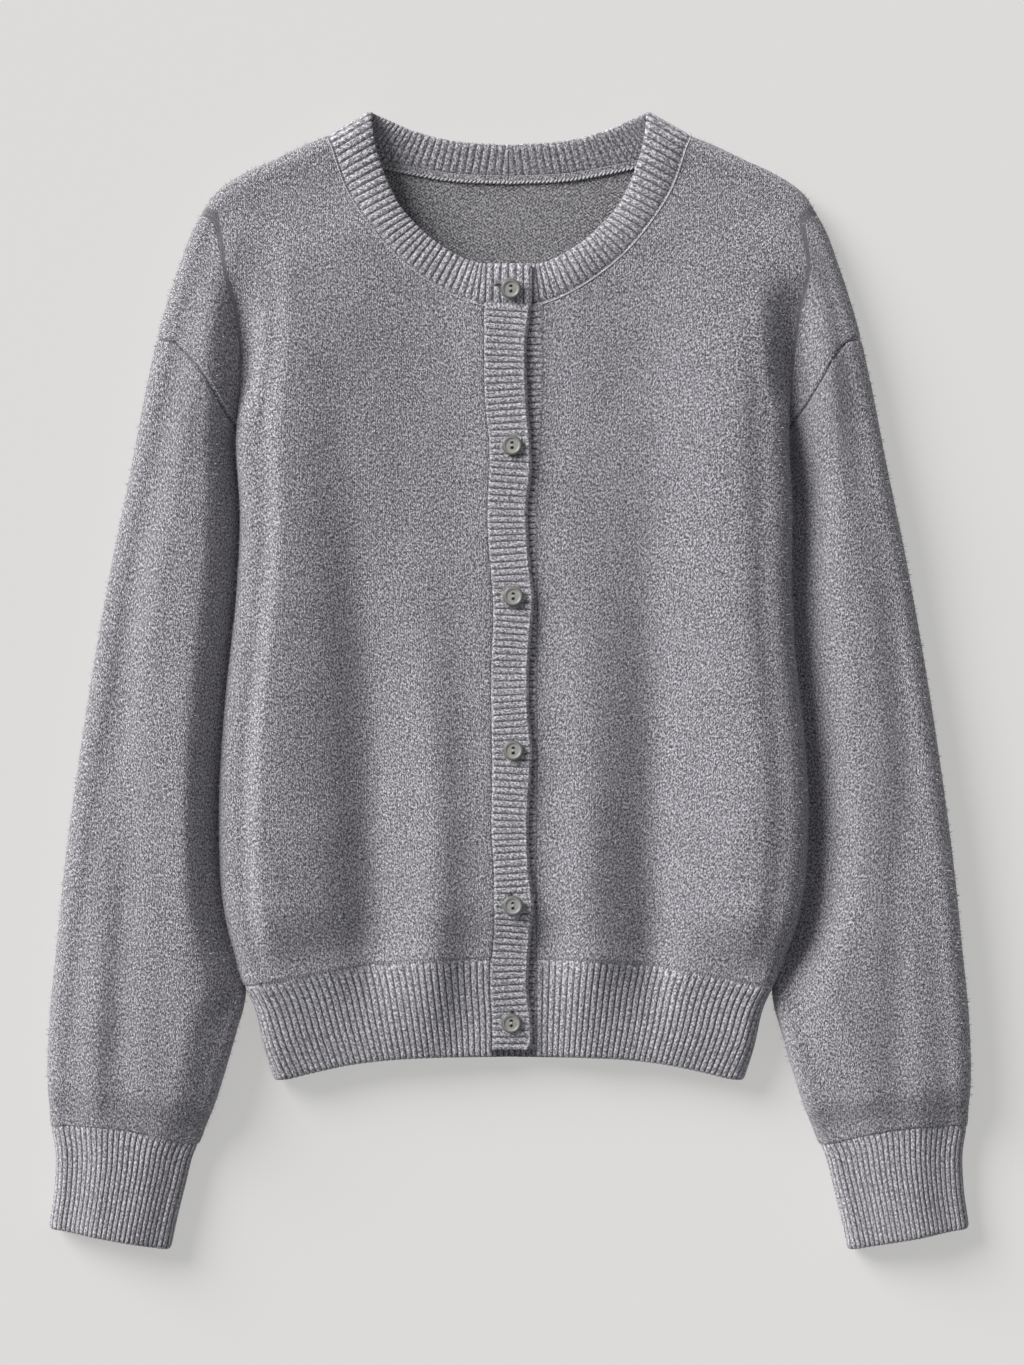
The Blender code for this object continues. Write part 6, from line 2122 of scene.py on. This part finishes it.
@dataclass
class Cardigan:
    """All pieces of the cardigan, made in order."""

    form: Form = field(default_factory=Form)
    fibre: Piece = field(default_factory=fibre_mesh)
    stitch: Piece = field(default_factory=stitch_bead)

    def declare(self, flat: tuple[float, float], area: float) -> None:
        """Round down a piece's area, held under its flat width times length in metres; nothing is
        kept.
        """
        area = math.floor(min(area, flat[0] * flat[1]) * 1e5) / 1e5

    def flats(self) -> None:
        """The pieces that lie flat under the fronts."""
        for flat in (
            FlatPanel("back", "back_cloth", INSIDE, "plain_knit", (5.0, 5.0)),
            FlatPanel("hem_back", "hem_ribs_back", RIB, "rib_knit", (0.58, 8.0), 3.5, 1.0, 0.0,
                      self.form),
            FlatPanel("neck_tape", "tape_cloth", TAPE, "tape", (2.0, 1.4), lumps=0.12),
        ):
            piece = dress(flat.build(), flat.finish, flat.slot, flat.node)
            low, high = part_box(flat.node)
            width, length = high.x - low.x, high.y - low.y
            area = max(sum(f.area for f in piece.data.polygons) / 2, 0.3 * width * length)
            self.declare((width, length), area)

    def cover(self, panels: list[Panel | Neckband], side: Side | None = None) -> None:
        made = []
        for panel in panels:
            role = ROLES[type(panel)]
            node = f"{role.node}_{side.word}" if side else role.node
            made.append((role, panel, dress(panel.build(), role.finish, role.slot, node)))
        made.sort(key=lambda item: item[0].seed)
        number = side.index if side else 0
        tufts = [
            role.fuzz.grow(piece, self.fibre, role.seed + number, role.slot)
            for role, _, piece in made
        ]
        for (role, panel, piece), tuft in zip(made, tufts):
            self.declare(role.flat, panel.area)

    def build(self) -> None:
        """Cloth first, then buttons and sewing."""
        self.flats()
        fronts = tuple(FrontPanel(self.form, side) for side in Side)
        for front in fronts:
            form, side = front.form, front.side
            sleeve = SleevePanel(form, side, armhole=front.armhole_plan())
            hem, cuff, band = (kind(form, side) for kind in (HemBand, CuffBand, FrontBand))
            self.cover([front, hem, sleeve, cuff, band], side)
        neckband = Neckband(self.form, fronts)
        self.cover([neckband])
        for number in range(1, len(BUTTON_PLACES) + 1):
            button = Button(number)
            dress(button.build(), THREAD, "button", f"button_{number}")
            dress(button.strands, THREAD, "rib_knit")
            # dark tube of painted shade in the buttonhole beside button 1
            if button.slit:
                dress(button.slit, BUTTONHOLE_SHADE, "rib_knit")
        for front in fronts:
            self.front_seams(front)
        self.tape_seams(neckband.back_line(fronts[1]))
        for guide in (self.fibre, self.stitch):
            bpy.data.objects.remove(guide)

    def front_seams(self, front: FrontPanel) -> None:
        """Rows of stitches along a front's seams at the neck, armhole, hem and band."""
        form, side = front.form, front.side
        neck = beside(front.seam_points[: front.neck_rows + 4], 1.7)
        neck = neck + front.seam_ways[: len(neck)] * 0.3
        arm = beside(front.arm_line[: front.band_rows + front.neck_rows + 1], -1.9)
        across = np.linspace(form.seam_across(-172.0, side) + 1.5, 150.0, 120)
        up = form.hem_seam(across) + 0.1
        hem = np.stack([across, up, form.body_top(across, up, side) + 0.05], -1)
        up = np.linspace(form.band_foot_up + 1.0, form.band_top_up - 2.0, 160)
        across = form.seam_across(up, side) + 1.5
        band = np.stack([across, up, form.body_top(across, up, side) - 0.35], -1)
        band = band[up > form.hem_seam(form.hem_seam_in) + 2.0]
        for name, line, settings in (
            ("neck_seam", neck, (1.9, 2.1, 0.15, THREAD)),
            ("armhole_seam", arm, (2.1, 1.8, 0.5)),
            ("hem_seam", hem, (1.75, 2.8, 1.35, JOIN_YARN)),
            ("band_column", band, (2.2, 1.9, 0.5)),
        ):
            line = line * MIRROR if side is Side.RIGHT else line
            Sewing(f"{name}_{side.word}", *settings).sew(line, self.stitch)

    def tape_seams(self, half: Array) -> None:
        """Rows of stitches along the tape inside the back neck, from its half seam line."""
        half = half[half[:, 0] < 92.0]
        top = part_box("neck_tape")[1].z / MM
        for name, down, rise, settings in (
            ("tape_chain", 4.6, 0.1, (2.5, 2.9, 0.7, THREAD)),
            ("tape_upper_edge", 0.6, 0.0, (2.0, 1.9, 0.2, SEAM_YARN)),
        ):
            line = beside(half, down)
            line = np.concatenate([line[::-1] * MIRROR[:2], line[1:]])
            line = np.column_stack([line, np.full(len(line), top + rise)])
            Sewing(name, *settings, "tape").sew(line, self.stitch)


def main() -> None:
    """Load the frame, build the cardigan and its studio."""
    logging.basicConfig(level=logging.INFO, format="%(name)s: %(message)s")
    for leftover in list(bpy.data.objects):
        bpy.data.objects.remove(leftover, do_unlink=True)
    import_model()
    Studio().build()
    Cardigan().build()


if __name__ == "__main__":
    main()
